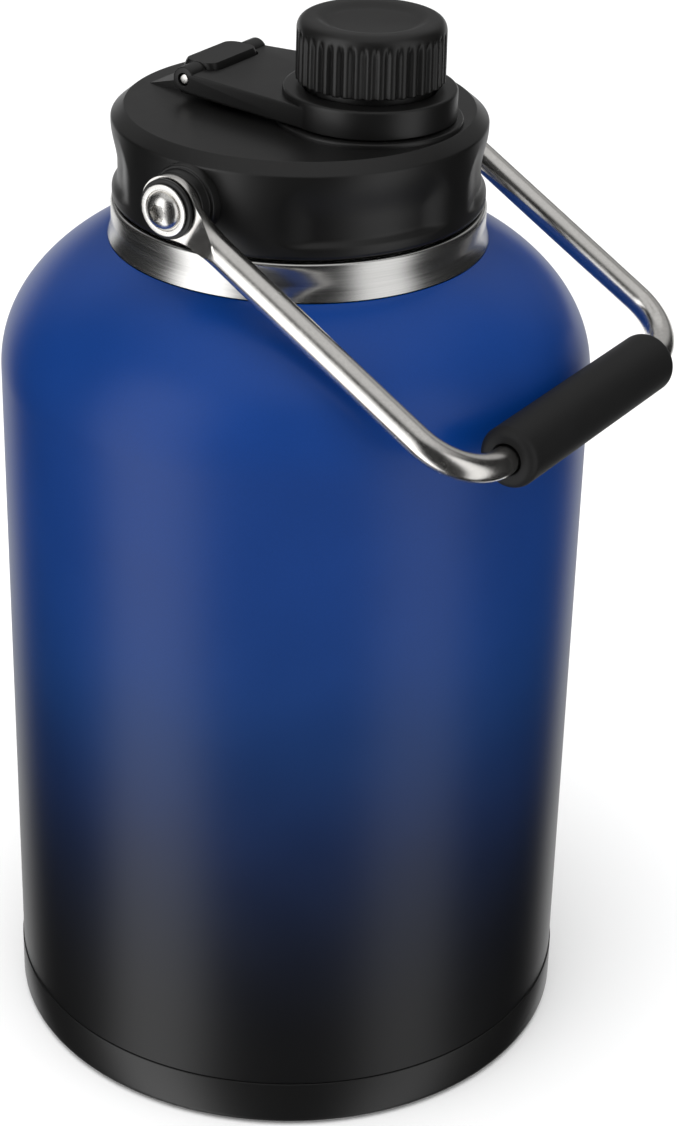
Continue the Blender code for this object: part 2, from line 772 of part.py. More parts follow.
def build_handle_rod(material, handle_pivot):
    reach_way, square = handle_frame()
    pivot = Vector((0, 0, pivot_height))
    path = rod_path()
    bm = bmesh.new()
    rings = []
    for i, (side, reach, width, thickness) in enumerate(path):
        before = path[max(i - 1, 0)]
        after = path[min(i + 1, len(path) - 1)]
        way = Vector((after[0] - before[0], after[1] - before[1])).normalized()
        across = Vector((0, -way.y, 0)) + reach_way * way.x
        centre = pivot + Vector((0, side, 0)) + reach_way * reach
        section = rod_section(width, thickness)
        rings.append([bm.verts.new(centre + square * a + across * b) for a, b in section])
    count = len(rings[0])
    for a, b in zip(rings, rings[1:]):
        for k in range(count):
            bm.faces.new((a[k], a[(k + 1) % count], b[(k + 1) % count], b[k]))
    bm.faces.new(rings[0])
    bm.faces.new(rings[-1])
    item = make_object("handle_rod", bm, material, handle_pivot)
    for side in (-1, 1):
        name = "left" if side < 0 else "right"
        face = eye_radius - small_edge
        eye = [(0, eye_inner), (face, eye_inner), (eye_radius, eye_inner + small_edge),
               (eye_radius, eye_outer - small_edge), (face, eye_outer), (0, eye_outer)]
        bm = turned_on_y(eye, small_steps, 0, pivot_height, side)
        join(item, make_object(f"eye_{name}", bm))
        hole = cylinder(sleeve_radius + gap, eye_inner - cut_extra, eye_outer + cut_extra)
        bm = turned_on_y(hole, small_steps, 0, pivot_height, side)
        cut(item, make_object(f"eye_hole_{name}", bm))
    weld_slivers(item)


def build_handle_grip(material, handle_pivot):
    reach_way, _ = handle_frame()
    centre = Vector((0, 0, pivot_height)) + reach_way * handle_length
    end = grip_half_length
    hole = rod_radius + gap
    high = arc((grip_radius - grip_edge, end - grip_edge), grip_edge, 90, 0, 3)
    low = arc((grip_radius - grip_edge, -end + grip_edge), grip_edge, 0, -90, 3)
    profile = [(hole, end)] + high + low + [(hole, -end)]
    bm = turned_on_y(profile, mid_steps - 8, centre.x, centre.z)
    make_object("handle_grip", bm, material, handle_pivot)


def build_pivot_hardware(side, steel, nylon, brass, lid_pivot):
    name = "left" if side < 0 else "right"
    bush_end = bush_face + bush_flange
    bush = [(screw_bore, boss_face + gap), (sleeve_radius, boss_face + gap),
            (sleeve_radius, bush_face), (bush_flange_radius, bush_face),
            (bush_flange_radius, bush_end), (screw_bore, bush_end)]
    bm = turned_on_y(bush, small_steps, 0, pivot_height, side)
    make_object(f"pivot_bushing_{name}", bm, nylon, lid_pivot)
    insert = tube(screw_bore, insert_radius, insert_face - insert_length, insert_face)
    bm = turned_on_y(insert, small_steps, 0, pivot_height, side)
    make_object(f"threaded_insert_{name}", bm, brass, lid_pivot)
    top = screw_face + screw_flange
    rim = screw_flange_radius - 0.0002
    dome = [(screw_dome_radius * math.cos(math.radians(a)), top + screw_dome * math.sin(math.radians(a)))
            for a in (0, 30, 55)]
    flat = dome[-1][0] - small_edge
    crown = top + screw_dome * 0.9
    screw = [(0, screw_end), (screw_radius, screw_end), (screw_radius, screw_face), (rim, screw_face),
             (screw_flange_radius, screw_face + 0.0002), (screw_flange_radius, top - 0.0002),
             (rim, top)]
    screw += dome + [(flat, crown), (0, crown)]
    bm = turned_on_y(screw, small_steps, 0, pivot_height, side)
    item = make_object(f"pivot_screw_{name}", bm, steel, lid_pivot)
    hex_corner = hex_flats / math.cos(math.radians(30))
    socket = cylinder(hex_corner, top + screw_dome - hex_depth, crown + cut_extra)
    cut(item, make_object(f"hex_socket_{name}", turned_on_y(socket, 6, 0, pivot_height, side)))


def build():
    clear_scene()
    blue = make_material("blue_powder_coat", (0.010, 0.035, 0.22), 0.45, 0.3)
    black_coat = make_material("black_powder_coat", (0.010, 0.010, 0.012), 0.45, 0.3)
    bare_steel = make_material("brushed_steel", (0.62, 0.61, 0.60), 0.28, 1.0)
    bright_steel = make_material("polished_steel", (0.75, 0.74, 0.72), 0.16, 1.0)
    plastic = make_material("black_plastic", (0.018, 0.018, 0.018), 0.42, 0.0)
    rubber = make_material("black_rubber", (0.012, 0.012, 0.012), 0.65, 0.0)
    silicone = make_material("clear_silicone", (0.75, 0.75, 0.73), 0.5, 0.0)
    nylon = make_material("black_nylon", (0.015, 0.015, 0.015), 0.5, 0.0)
    brass = make_material("brass", (0.60, 0.45, 0.18), 0.3, 1.0)
    foam = make_material("insulating_foam", (0.80, 0.78, 0.70), 0.9, 0.0)
    lid_pivot = make_pivot("lid_axis", 0, 0, lid_low)
    arm_pivot = make_pivot("arm_axis", hinge_x, 0, hinge_z)
    cap_pivot = make_pivot("cap_axis", cap_offset, 0, platform_top)
    handle_pivot = make_pivot("handle_axis", 0, 0, pivot_height)
    build_outer_shell(blue)
    build_base_cup(black_coat)
    build_inner_liner(bare_steel)
    build_neck_band(bare_steel)
    build_getter(bare_steel)
    build_lid_gasket(silicone)
    build_lid_cover(plastic, lid_pivot)
    build_lid_plug(plastic, lid_pivot)
    build_lid_foam(foam, lid_pivot)
    build_hinge_pin(bright_steel, lid_pivot)
    build_hinge_arm(plastic, arm_pivot)
    build_cap_shell(plastic, cap_pivot)
    build_cap_core(plastic, cap_pivot)
    build_cap_seal(silicone, cap_pivot)
    build_handle_rod(bright_steel, handle_pivot)
    build_handle_grip(rubber, handle_pivot)
    for side in (-1, 1):
        build_pivot_hardware(side, bright_steel, nylon, brass, lid_pivot)


handle_angle = resting_angle()
build()
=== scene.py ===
import math
from types import SimpleNamespace

import bmesh
import bpy
from mathutils import Matrix, Vector


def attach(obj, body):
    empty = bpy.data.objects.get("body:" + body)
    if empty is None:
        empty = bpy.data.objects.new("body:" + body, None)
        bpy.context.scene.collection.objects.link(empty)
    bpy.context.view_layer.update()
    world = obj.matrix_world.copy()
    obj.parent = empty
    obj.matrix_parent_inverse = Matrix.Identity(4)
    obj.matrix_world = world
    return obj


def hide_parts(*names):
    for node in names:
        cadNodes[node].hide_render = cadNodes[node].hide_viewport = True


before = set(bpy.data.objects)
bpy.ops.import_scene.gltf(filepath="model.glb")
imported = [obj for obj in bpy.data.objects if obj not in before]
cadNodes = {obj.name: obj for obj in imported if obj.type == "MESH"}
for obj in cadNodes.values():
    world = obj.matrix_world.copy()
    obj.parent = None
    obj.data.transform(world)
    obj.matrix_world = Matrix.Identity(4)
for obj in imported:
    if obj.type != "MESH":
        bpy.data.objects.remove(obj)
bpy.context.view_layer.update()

turn = 2 * math.pi
fit = 0.0003                                   # room left between touching pieces
past = 0.002                                   # how far a cutter runs past what it cuts
hair = 0.0001                                  # smallest step between two faces


# ---- small helpers for meshes ----

def finishMesh(bm, name, angle=38):
    bmesh.ops.remove_doubles(bm, verts=bm.verts, dist=1e-7)
    bmesh.ops.recalc_face_normals(bm, faces=bm.faces)
    mesh = bpy.data.meshes.new(name)
    bm.to_mesh(mesh)
    bm.free()
    mesh.shade_smooth()
    mesh.set_sharp_from_angle(angle=math.radians(angle))
    piece = bpy.data.objects.new(name, mesh)
    bpy.context.scene.collection.objects.link(piece)
    return piece


def softOutline(corners, arcSteps=5):
    # corners: (radius, height) or (radius, height, rounding); each rounded corner becomes an arc
    points = []
    count = len(corners)
    for i, corner in enumerate(corners):
        here = Vector(corner[:2])
        rounding = corner[2] if len(corner) > 2 else 0
        if not rounding:
            points.append(tuple(here))
            continue
        before = (Vector(corners[i - 1][:2]) - here).normalized()
        after = (Vector(corners[(i + 1) % count][:2]) - here).normalized()
        half = before.angle(after) / 2
        reach = rounding / math.tan(half)
        centre = here + (before + after).normalized() * (rounding / math.sin(half))
        first = here + before * reach - centre
        last = here + after * reach - centre
        sweep = first.angle_signed(last)
        for k in range(arcSteps + 1):
            arm = first.copy()
            arm.rotate(Matrix.Rotation(-sweep * k / arcSteps, 2))
            points.append(tuple(centre + arm))
    return points


def lathe(outline, steps, centre=(0, 0)):
    # closed (radius, height) outline turned about a vertical axis; points on the axis become poles
    bm = bmesh.new()
    rings = []
    for r, z in outline:
        if r < 1e-7:
            rings.append([bm.verts.new((centre[0], centre[1], z))])
        else:
            rings.append([bm.verts.new((centre[0] + r * math.cos(turn * k / steps),
                                        centre[1] + r * math.sin(turn * k / steps), z))
                          for k in range(steps)])
    for a, b in zip(rings, rings[1:] + rings[:1]):
        for k in range(steps):
            n = (k + 1) % steps
            loop = [a[k % len(a)], a[n % len(a)], b[n % len(b)], b[k % len(b)]]
            loop = [v for i, v in enumerate(loop) if v not in loop[:i]]
            if len(loop) > 2:
                bm.faces.new(loop)
    return bm


def latheSideways(outline, steps, x, z, side=1):
    # outline is (radius, distance along Y away from the middle)
    bm = lathe(outline, steps)
    place = Matrix.Translation((x, 0, z)) @ Matrix.Rotation(-side * turn / 4, 4, "X")
    bmesh.ops.transform(bm, matrix=place, verts=bm.verts)
    return bm


def softPlate(outline, low, high, edge, edgeSteps=4):
    # upright plate over a flat outline (counter-clockwise), with its top and bottom edges rounded
    count = len(outline)
    points = [Vector(p) for p in outline]
    inward = []
    for i in range(count):
        a = (points[i] - points[i - 1]).normalized()
        b = (points[(i + 1) % count] - points[i]).normalized()
        normal = (Vector((-a.y, a.x)) + Vector((-b.y, b.x))).normalized()
        inward.append(normal / max(0.3, normal.dot(Vector((-a.y, a.x)))))
    layers = []
    for k in range(edgeSteps + 1):
        bend = math.pi / 2 * k / edgeSteps
        layers.append((edge * (1 - math.sin(bend)), low + edge * (1 - math.cos(bend))))
    layers += [(inset, low + high - z) for inset, z in layers[::-1]]
    bm = bmesh.new()
    rings = [[bm.verts.new((*(p + n * inset), z)) for p, n in zip(points, inward)]
             for inset, z in layers]
    for a, b in zip(rings, rings[1:]):
        for k in range(count):
            n = (k + 1) % count
            bm.faces.new((a[k], a[n], b[n], b[k]))
    bm.faces.new(rings[0])
    bm.faces.new(rings[-1])
    return bm


def sideBlock(outline, halfWidth):
    # (x, z) outline pulled out along Y, the same both ways
    bm = bmesh.new()
    near = [bm.verts.new((x, -halfWidth, z)) for x, z in outline]
    far = [bm.verts.new((x, halfWidth, z)) for x, z in outline]
    for k in range(len(outline)):
        n = (k + 1) % len(outline)
        bm.faces.new((near[k], near[n], far[n], far[k]))
    bm.faces.new(near)
    bm.faces.new(far)
    return bm


def arcPoints(centre, radius, start, end, steps):
    return [(centre[0] + radius * math.cos(math.radians(start + (end - start) * k / steps)),
             centre[1] + radius * math.sin(math.radians(start + (end - start) * k / steps)))
            for k in range(steps + 1)]


def closeSeams(piece):
    # hair-thin gaps that a chain of cuts can leave open
    bm = bmesh.new()
    bm.from_mesh(piece.data)
    gaps = [edge for edge in bm.edges if edge.is_boundary]
    if gaps:
        bmesh.ops.holes_fill(bm, edges=gaps, sides=0)
        bmesh.ops.triangulate(bm, faces=[face for face in bm.faces if len(face.verts) > 4])
        bm.to_mesh(piece.data)
    bm.free()


def combine(piece, others, operation):
    for other in others:
        step = piece.modifiers.new(other.name, "BOOLEAN")
        step.operation = operation
        step.solver = "EXACT"
        step.object = other
    weld = piece.modifiers.new("weld", "WELD")
    weld.merge_threshold = 0.000004
    bake(piece)
    closeSeams(piece)
    for other in others:
        bpy.data.objects.remove(other)
    return piece


def bake(piece, angle=38):
    # every modifier, Geometry Nodes included, is turned into plain mesh
    graph = bpy.context.evaluated_depsgraph_get()
    mesh = bpy.data.meshes.new_from_object(piece.evaluated_get(graph), depsgraph=graph)
    piece.modifiers.clear()
    piece.data = mesh
    mesh.name = piece.name
    mesh.shade_smooth()
    mesh.set_sharp_from_angle(angle=math.radians(angle))
    return piece


def put(piece, material, body, slot, *cadNames):
    piece.data.materials.clear()
    piece.data.materials.append(material)
    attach(piece, body)
    if cadNames:
        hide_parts(*cadNames)
    return piece


# ---- small helpers for node trees ----

def addNode(tree, kind, inputs=None, **settings):
    # settings are the node's own properties; an input is a value or another node's output
    node = tree.nodes.new(kind)
    for key, value in settings.items():
        setattr(node, key, value)
    for key, value in (inputs or {}).items():
        if isinstance(value, bpy.types.NodeSocket):
            tree.links.new(value, node.inputs[key])
        else:
            node.inputs[key].default_value = value
    return node


def calc(tree, operation, *values):
    return addNode(tree, "ShaderNodeMath", dict(enumerate(values)), operation=operation).outputs[0]


def splitXYZ(tree, vector):
    return addNode(tree, "ShaderNodeSeparateXYZ", {0: vector}).outputs


def joinXYZ(tree, **parts):
    return addNode(tree, "ShaderNodeCombineXYZ", parts).outputs[0]


def noise(tree, place, scale, detail=2.0, roughness=0.5):
    inputs = {"Vector": place, "Scale": scale, "Detail": detail, "Roughness": roughness}
    return addNode(tree, "ShaderNodeTexNoise", inputs, noise_dimensions="3D").outputs["Fac"]


def geometryTree(name, sizes):
    # a tree with a geometry input and output, and one named number for each size
    tree = bpy.data.node_groups.new(name, "GeometryNodeTree")
    tree.interface.new_socket("Geometry", in_out="INPUT", socket_type="NodeSocketGeometry")
    for label, value in sizes.items():
        kind = "NodeSocketInt" if isinstance(value, int) else "NodeSocketFloat"
        tree.interface.new_socket(label, in_out="INPUT", socket_type=kind)
    tree.interface.new_socket("Geometry", in_out="OUTPUT", socket_type="NodeSocketGeometry")
    return tree, tree.nodes.new("NodeGroupInput").outputs, tree.nodes.new("NodeGroupOutput").inputs[0]


def runTree(piece, tree, sizes, material):
    step = piece.modifiers.new(tree.name, "NODES")
    step.node_group = tree
    sockets = {item.name: item.identifier for item in tree.interface.items_tree
               if item.in_out == "INPUT"}
    for label, value in sizes.items():
        step[sockets[label]] = value
    piece.data.materials.append(material)
    return bake(piece)


def endTree(tree, geometry, output, material):
    whole = addNode(tree, "GeometryNodeRealizeInstances", {0: geometry}).outputs[0]
    painted = addNode(tree, "GeometryNodeSetMaterial", {"Geometry": whole, "Material": material})
    tree.links.new(painted.outputs[0], output)


def emptyPiece(name):
    piece = bpy.data.objects.new(name, bpy.data.meshes.new(name))
    bpy.context.scene.collection.objects.link(piece)
    return piece


def shaderGroup(name, numbers, results):
    tree = bpy.data.node_groups.new(name, "ShaderNodeTree")
    for label, value in numbers.items():
        item = tree.interface.new_socket(label, in_out="INPUT", socket_type="NodeSocketFloat")
        item.default_value = value
    for label in results:
        tree.interface.new_socket(label, in_out="OUTPUT", socket_type="NodeSocketFloat")
    return tree, tree.nodes.new("NodeGroupInput").outputs, tree.nodes.new("NodeGroupOutput").inputs


# ---- shader groups that several finishes share ----

def giveSurface(tree, given, out, swing, height, tintSwing):
    tree.links.new(calc(tree, "MULTIPLY_ADD", swing, given["Spread"], given["Gloss"]), out["Roughness"])
    tree.links.new(height, out["Height"])
    tree.links.new(calc(tree, "MULTIPLY_ADD", swing, tintSwing, 1.0), out["Tint"])
    return tree


def makeFineGrain():
    # moulded or sprayed surface: a fine even grain and slow patches of gloss
    numbers = {"Grain per metre": 3000.0, "Patches per metre": 60.0, "Gloss": 0.4, "Spread": 0.06}
    tree, given, out = shaderGroup("fineGrain", numbers, ["Roughness", "Height", "Tint"])
    place = tree.nodes.new("ShaderNodeTexCoord").outputs["Object"]
    fine = noise(tree, place, given["Grain per metre"], 3.0, 0.6)
    patch = noise(tree, place, given["Patches per metre"])
    swing = calc(tree, "ADD", calc(tree, "SUBTRACT", fine, 0.5), calc(tree, "SUBTRACT", patch, 0.5))
    return giveSurface(tree, given, out, swing, fine, 0.25)


def makeTurnedLines():
    # fine lines that run round an upright axis, as brushing on a lathe leaves
    numbers = {"Lines per metre": 3000.0, "Gloss": 0.25, "Spread": 0.15}
    tree, given, out = shaderGroup("turnedLines", numbers, ["Roughness", "Height", "Tint"])
    place = splitXYZ(tree, tree.nodes.new("ShaderNodeTexCoord").outputs["Object"])
    slow = 25.0                                # how slowly a line fades along its length
    stretched = joinXYZ(tree, X=calc(tree, "MULTIPLY", place["X"], slow),
                        Y=calc(tree, "MULTIPLY", place["Y"], slow),
                        Z=calc(tree, "MULTIPLY", place["Z"], given["Lines per metre"]))
    brushed = noise(tree, stretched, 1.0, 4.0)
    return giveSurface(tree, given, out, calc(tree, "SUBTRACT", brushed, 0.5), brushed, 0.35)


fineGrain = makeFineGrain()
turnedLines = makeTurnedLines()


def finish(name, look, surface, colourSocket=None):
    # one Principled material; the group gives what varies, and the fixed numbers sit on the shader
    material = bpy.data.materials.new(name)
    material.use_nodes = True
    tree = material.node_tree
    shader = tree.nodes["Principled BSDF"]
    shader.inputs["Metallic"].default_value = look.get("metallic", 0.0)
    shader.inputs["Specular IOR Level"].default_value = look.get("specular", 0.5)
    if "anisotropic" in look:
        shader.inputs["Anisotropic"].default_value = look["anisotropic"]
        around = addNode(tree, "ShaderNodeTangent", direction_type="RADIAL", axis="Z")
        tree.links.new(around.outputs[0], shader.inputs["Tangent"])
    if "subsurface" in look:
        shader.inputs["Subsurface Weight"].default_value = look["subsurface"]
        shader.inputs["Subsurface Radius"].default_value = (0.002, 0.002, 0.002)
        shader.inputs["Subsurface Scale"].default_value = 1.0
    detail = addNode(tree, "ShaderNodeGroup", look["detail"], node_tree=surface).outputs
    tree.links.new(detail["Roughness"], shader.inputs["Roughness"])
    bump = addNode(tree, "ShaderNodeBump", {"Strength": look.get("bumpStrength", 0.5),
                                            "Distance": look["bump"], "Height": detail["Height"]})
    tree.links.new(bump.outputs[0], shader.inputs["Normal"])
    colour = colourSocket(tree) if colourSocket else (*look["colour"], 1.0)
    tint = addNode(tree, "ShaderNodeMix", {"Factor": 1.0, "A": colour, "B": detail["Tint"]},
                   data_type="RGBA", blend_type="MULTIPLY")
    tree.links.new(tint.outputs["Result"], shader.inputs["Base Color"])
    return material


# blue at the shoulder fading to black at the foot: (height in metres, colour)
ombre = [
    (0.030, (0.0050, 0.0050, 0.0052)),
    (0.052, (0.0048, 0.0062, 0.0120)),
    (0.074, (0.0040, 0.0090, 0.0280)),
    (0.098, (0.0028, 0.0145, 0.0640)),
    (0.122, (0.0010, 0.0240, 0.1100)),
    (0.146, (0.0003, 0.0290, 0.1520)),
    (0.175, (0.0002, 0.0310, 0.1740)),
    (0.230, (0.0002, 0.0310, 0.1780)),
]


def ombreColour(tree):
    place = tree.nodes.new("ShaderNodeTexCoord").outputs["Object"]
    driftPerMetre, driftHeight, top = 14.0, 0.006, 0.25
    drift = noise(tree, place, driftPerMetre)
    sway = calc(tree, "MULTIPLY", calc(tree, "SUBTRACT", drift, 0.5), driftHeight)
    swayed = calc(tree, "ADD", splitXYZ(tree, place)["Z"], sway)
    ramp = addNode(tree, "ShaderNodeValToRGB", {0: calc(tree, "DIVIDE", swayed, top)})
    ramp.color_ramp.interpolation = "B_SPLINE"
    stops = ramp.color_ramp.elements
    for height, _ in ombre[2:]:
        stops.new(height / top)
    for stop, (height, _) in zip(stops, ombre):
        stop.position = height / top
    for stop, (_, colour) in zip(stops, ombre):
        stop.color = (*colour, 1.0)
    return ramp.outputs["Color"]


def grain(perMetre, patches, gloss, spread):
    return {"Grain per metre": perMetre, "Patches per metre": patches, "Gloss": gloss, "Spread": spread}


def lines(perMetre, gloss, spread):
    return {"Lines per metre": perMetre, "Gloss": gloss, "Spread": spread}


finishes = {
    "ombreCoat": {"bump": 0.00004, "bumpStrength": 0.25, "specular": 0.32,
                  "detail": grain(1900.0, 30.0, 0.34, 0.05)},
    "blackCoat": {"colour": (0.0050, 0.0050, 0.0051), "bump": 0.00006, "bumpStrength": 0.35,
                  "detail": grain(1900.0, 30.0, 0.34, 0.05)},
    "bandSteel": {"colour": (0.70, 0.695, 0.68), "metallic": 1.0, "anisotropic": 0.5,
                  "bump": 0.00001, "bumpStrength": 0.25,
                  "detail": lines(2600.0, 0.21, 0.12)},
    "drawnSteel": {"colour": (0.60, 0.595, 0.58), "metallic": 1.0, "bump": 0.00001, "bumpStrength": 0.3,
                   "detail": lines(1800.0, 0.32, 0.12)},
    "rodSteel": {"colour": (0.82, 0.80, 0.77), "metallic": 1.0, "bump": 0.00003, "bumpStrength": 0.25,
                 "detail": grain(1200.0, 150.0, 0.23, 0.14)},
    "screwSteel": {"colour": (0.80, 0.785, 0.76), "metallic": 1.0, "bump": 0.00001, "bumpStrength": 0.2,
                   "detail": grain(2500.0, 300.0, 0.26, 0.10)},
    "lidPlastic": {"colour": (0.0045, 0.0044, 0.0043), "bump": 0.00003, "bumpStrength": 0.35,
                   "detail": grain(3200.0, 90.0, 0.38, 0.08)},
    "capPlastic": {"colour": (0.0055, 0.0053, 0.0051), "bump": 0.00003, "bumpStrength": 0.35,
                   "detail": grain(3200.0, 120.0, 0.40, 0.08)},
    "gripRubber": {"colour": (0.0065, 0.0065, 0.0065), "bump": 0.00006,
                   "bumpStrength": 0.5, "specular": 0.4,
                   "detail": grain(2400.0, 110.0, 0.60, 0.10)},
    "clearSilicone": {"colour": (0.72, 0.72, 0.70), "bump": 0.00002, "subsurface": 0.3,
                      "detail": grain(1500.0, 100.0, 0.45, 0.06)},
    "bushNylon": {"colour": (0.0085, 0.0085, 0.0085), "bump": 0.00002,
                  "detail": grain(2600.0, 200.0, 0.42, 0.08)},
    "insertBrass": {"colour": (0.62, 0.43, 0.16), "metallic": 1.0, "bump": 0.00001,
                    "detail": grain(2200.0, 200.0, 0.28, 0.10)},
    "lidFoam": {"colour": (0.78, 0.74, 0.62), "bump": 0.00025, "bumpStrength": 0.8,
                "detail": grain(900.0, 80.0, 0.90, 0.06)},
    "getterMetal": {"colour": (0.45, 0.43, 0.40), "metallic": 1.0, "bump": 0.00004,
                    "detail": grain(1500.0, 150.0, 0.50, 0.12)},
}
paint = {}
for finishName, look in finishes.items():
    surface = turnedLines if "Lines per metre" in look["detail"] else fineGrain
    fade = ombreColour if finishName == "ombreCoat" else None
    paint[finishName] = finish(finishName, look, surface, fade)
print("made", len(paint), "finishes")


# ---- outer shell: straight wall, then a shoulder that rounds in to the neck ----

shell = {"Wall radius": 0.0800, "Foot height": 0.0146, "Shoulder start": 0.2000, "Shoulder top": 0.2368,
         "Neck radius": 0.0507, "Round out": 1.62, "Round up": 0.953, "Wall share": 0.25,
         "Steps round": 256, "Steps up": 96}
shellWall = 0.0008


def makeShellTree(material):
    tree, given, output = geometryTree("vesselShell", shell)
    grid = addNode(tree, "GeometryNodeMeshGrid", {
        "Size X": 1.0, "Size Y": 1.0,
        "Vertices X": given["Steps round"], "Vertices Y": given["Steps up"]})
    spot = splitXYZ(tree, tree.nodes.new("GeometryNodeInputPosition").outputs[0])
    angle = calc(tree, "MULTIPLY", calc(tree, "ADD", spot["X"], 0.5), turn)
    up = calc(tree, "ADD", spot["Y"], 0.5)
    # below the wall's share the outline climbs straight; above it a quarter turn makes the shoulder
    wall = calc(tree, "MINIMUM", calc(tree, "DIVIDE", up, given["Wall share"]), 1.0)
    bendShare = calc(tree, "DIVIDE", calc(tree, "SUBTRACT", up, given["Wall share"]),
                     calc(tree, "SUBTRACT", 1.0, given["Wall share"]))
    bend = calc(tree, "MULTIPLY", calc(tree, "MAXIMUM", bendShare, 0.0), math.pi / 2)
    cosine = calc(tree, "MAXIMUM", calc(tree, "COSINE", bend), 0.0)
    sine = calc(tree, "MAXIMUM", calc(tree, "SINE", bend), 0.0)
    out = calc(tree, "POWER", cosine, given["Round out"])
    rise = calc(tree, "POWER", sine, given["Round up"])
    shoulderWidth = calc(tree, "SUBTRACT", given["Wall radius"], given["Neck radius"])
    radius = calc(tree, "MULTIPLY_ADD", shoulderWidth, out, given["Neck radius"])
    wallRise = calc(tree, "SUBTRACT", given["Shoulder start"], given["Foot height"])
    wallHeight = calc(tree, "MULTIPLY_ADD", wallRise, wall, given["Foot height"])
    shoulderRise = calc(tree, "SUBTRACT", given["Shoulder top"], given["Shoulder start"])
    place = joinXYZ(tree, X=calc(tree, "MULTIPLY", radius, calc(tree, "COSINE", angle)),
                    Y=calc(tree, "MULTIPLY", radius, calc(tree, "SINE", angle)),
                    Z=calc(tree, "MULTIPLY_ADD", shoulderRise, rise, wallHeight))
    move = addNode(tree, "GeometryNodeSetPosition",
                   {"Geometry": grid.outputs["Mesh"], "Position": place})
    seam = addNode(tree, "GeometryNodeMergeByDistance",
                   {"Geometry": move.outputs[0], "Distance": 0.000005})
    endTree(tree, seam.outputs[0], output, material)
    return tree


outerShell = emptyPiece("outerShell")
runTree(outerShell, makeShellTree(paint["ombreCoat"]), shell, paint["ombreCoat"])
sheetSteel = outerShell.modifiers.new("sheetSteel", "SOLIDIFY")
sheetSteel.thickness = shellWall
sheetSteel.offset = -1.0
bake(outerShell)
put(outerShell, paint["ombreCoat"], "vessel", "blue_powder_coat", "outer_shell")
print("outer shell done")


# ---- base cup: welded bottom with a rounded lower edge ----

baseCup = SimpleNamespace(radius=0.0803, height=0.0143, edge=0.0026, floor=0.0014,
    spigotHeight=0.0060, spigotWall=0.0012, steps=256)


def makeBaseCup():
    size = baseCup
    spigot = shell["Wall radius"] - shellWall - fit
    inside = spigot - size.spigotWall
    top = size.height + size.spigotHeight
    outline = softOutline([(0, 0), (size.radius, 0, size.edge),
                           (size.radius, size.height, 0.0003), (spigot, size.height),
                           (spigot, top, 0.0002), (inside, top, 0.0002), (inside, size.floor, 0.003),
                           (0, size.floor)])
    return finishMesh(lathe(outline, size.steps), "baseCup")


put(makeBaseCup(), paint["blackCoat"], "vessel", "black_powder_coat", "base_cup")


# ---- neck band: bare turned steel, flared where it meets the shoulder ----

neckBand = SimpleNamespace(radius=0.0498, flare=0.0009, low=0.2371, top=0.2470, bore=0.0457,
    edge=0.0010, lipIn=0.0483, lipDrop=0.0018, steps=256)


def makeNeckBand():
    size = neckBand
    foot = size.radius + size.flare
    outline = [(size.bore, size.low), (foot, size.low)]
    for k in range(1, 9):                      # the flare dies out over a few millimetres
        share = k / 8
        outline.append((size.radius + size.flare * (1 - share) ** 2, size.low + 0.0045 * share))
    outline += softOutline([(size.radius, size.top - 0.002), (size.radius, size.top, size.edge),
                            (size.lipIn, size.top, 0.0001), (size.lipIn, size.top - size.lipDrop),
                            (size.bore, size.top - size.lipDrop)])
    return finishMesh(lathe(outline, size.steps), "neckBand")


put(makeNeckBand(), paint["bandSteel"], "vessel", "brushed_steel", "neck_band")
print("vessel done")


# ---- screw threads: one ridge that winds round an upright axis ----

def makeThreadTree(material):
    # Facing is 1 for a ridge on a rod and -1 for one in a bore; the ridge tapers off at both ends
    sizes = {"Radius": 0.01, "Lead": 0.004, "Turns": 1.0, "Ridge depth": 0.001, "Ridge width": 0.0015,
             "Crest width": 0.0009, "Start": 0.0, "Low": 0.0, "Centre": 0.0, "Facing": 1.0}
    stepsPerTurn, taperRate, tipSize = 72, 12.0, 0.15
    tree, given, output = geometryTree("threadRidge", sizes)
    path = addNode(tree, "GeometryNodeCurveSpiral", {
        "Resolution": stepsPerTurn, "Rotations": given["Turns"], "Start Radius": given["Radius"],
        "End Radius": given["Radius"], "Height": calc(tree, "MULTIPLY", given["Lead"], given["Turns"])})
    upright = addNode(tree, "GeometryNodeSetCurveNormal", {"Curve": path.outputs[0]}, mode="Z_UP")
    ridge = addNode(tree, "GeometryNodeCurvePrimitiveQuadrilateral", {
        "Offset": 0.0, "Bottom Width": given["Ridge width"], "Top Width": given["Crest width"],
        "Height": given["Ridge depth"]}, mode="TRAPEZOID")
    face = joinXYZ(tree, Z=calc(tree, "MULTIPLY", given["Facing"], -turn / 4))
    lay = addNode(tree, "GeometryNodeTransform", {"Geometry": ridge.outputs[0], "Rotation": face})
    along = tree.nodes.new("GeometryNodeSplineParameter").outputs["Factor"]
    ends = calc(tree, "MINIMUM", along, calc(tree, "SUBTRACT", 1.0, along))
    taper = calc(tree, "MINIMUM", calc(tree, "MULTIPLY_ADD", ends, taperRate, tipSize), 1.0)
    sweep = addNode(tree, "GeometryNodeCurveToMesh", {
        "Curve": upright.outputs[0], "Profile Curve": lay.outputs[0], "Scale": taper,
        "Fill Caps": True})
    move = addNode(tree, "GeometryNodeTransform", {
        "Geometry": sweep.outputs[0], "Rotation": joinXYZ(tree, Z=given["Start"]),
        "Translation": joinXYZ(tree, X=given["Centre"], Z=given["Low"])})
    endTree(tree, move.outputs[0], output, material)
    return tree


threadTree = makeThreadTree(paint["lidPlastic"])
threadSink = 0.0002                            # how far a ridge's foot sits inside its wall


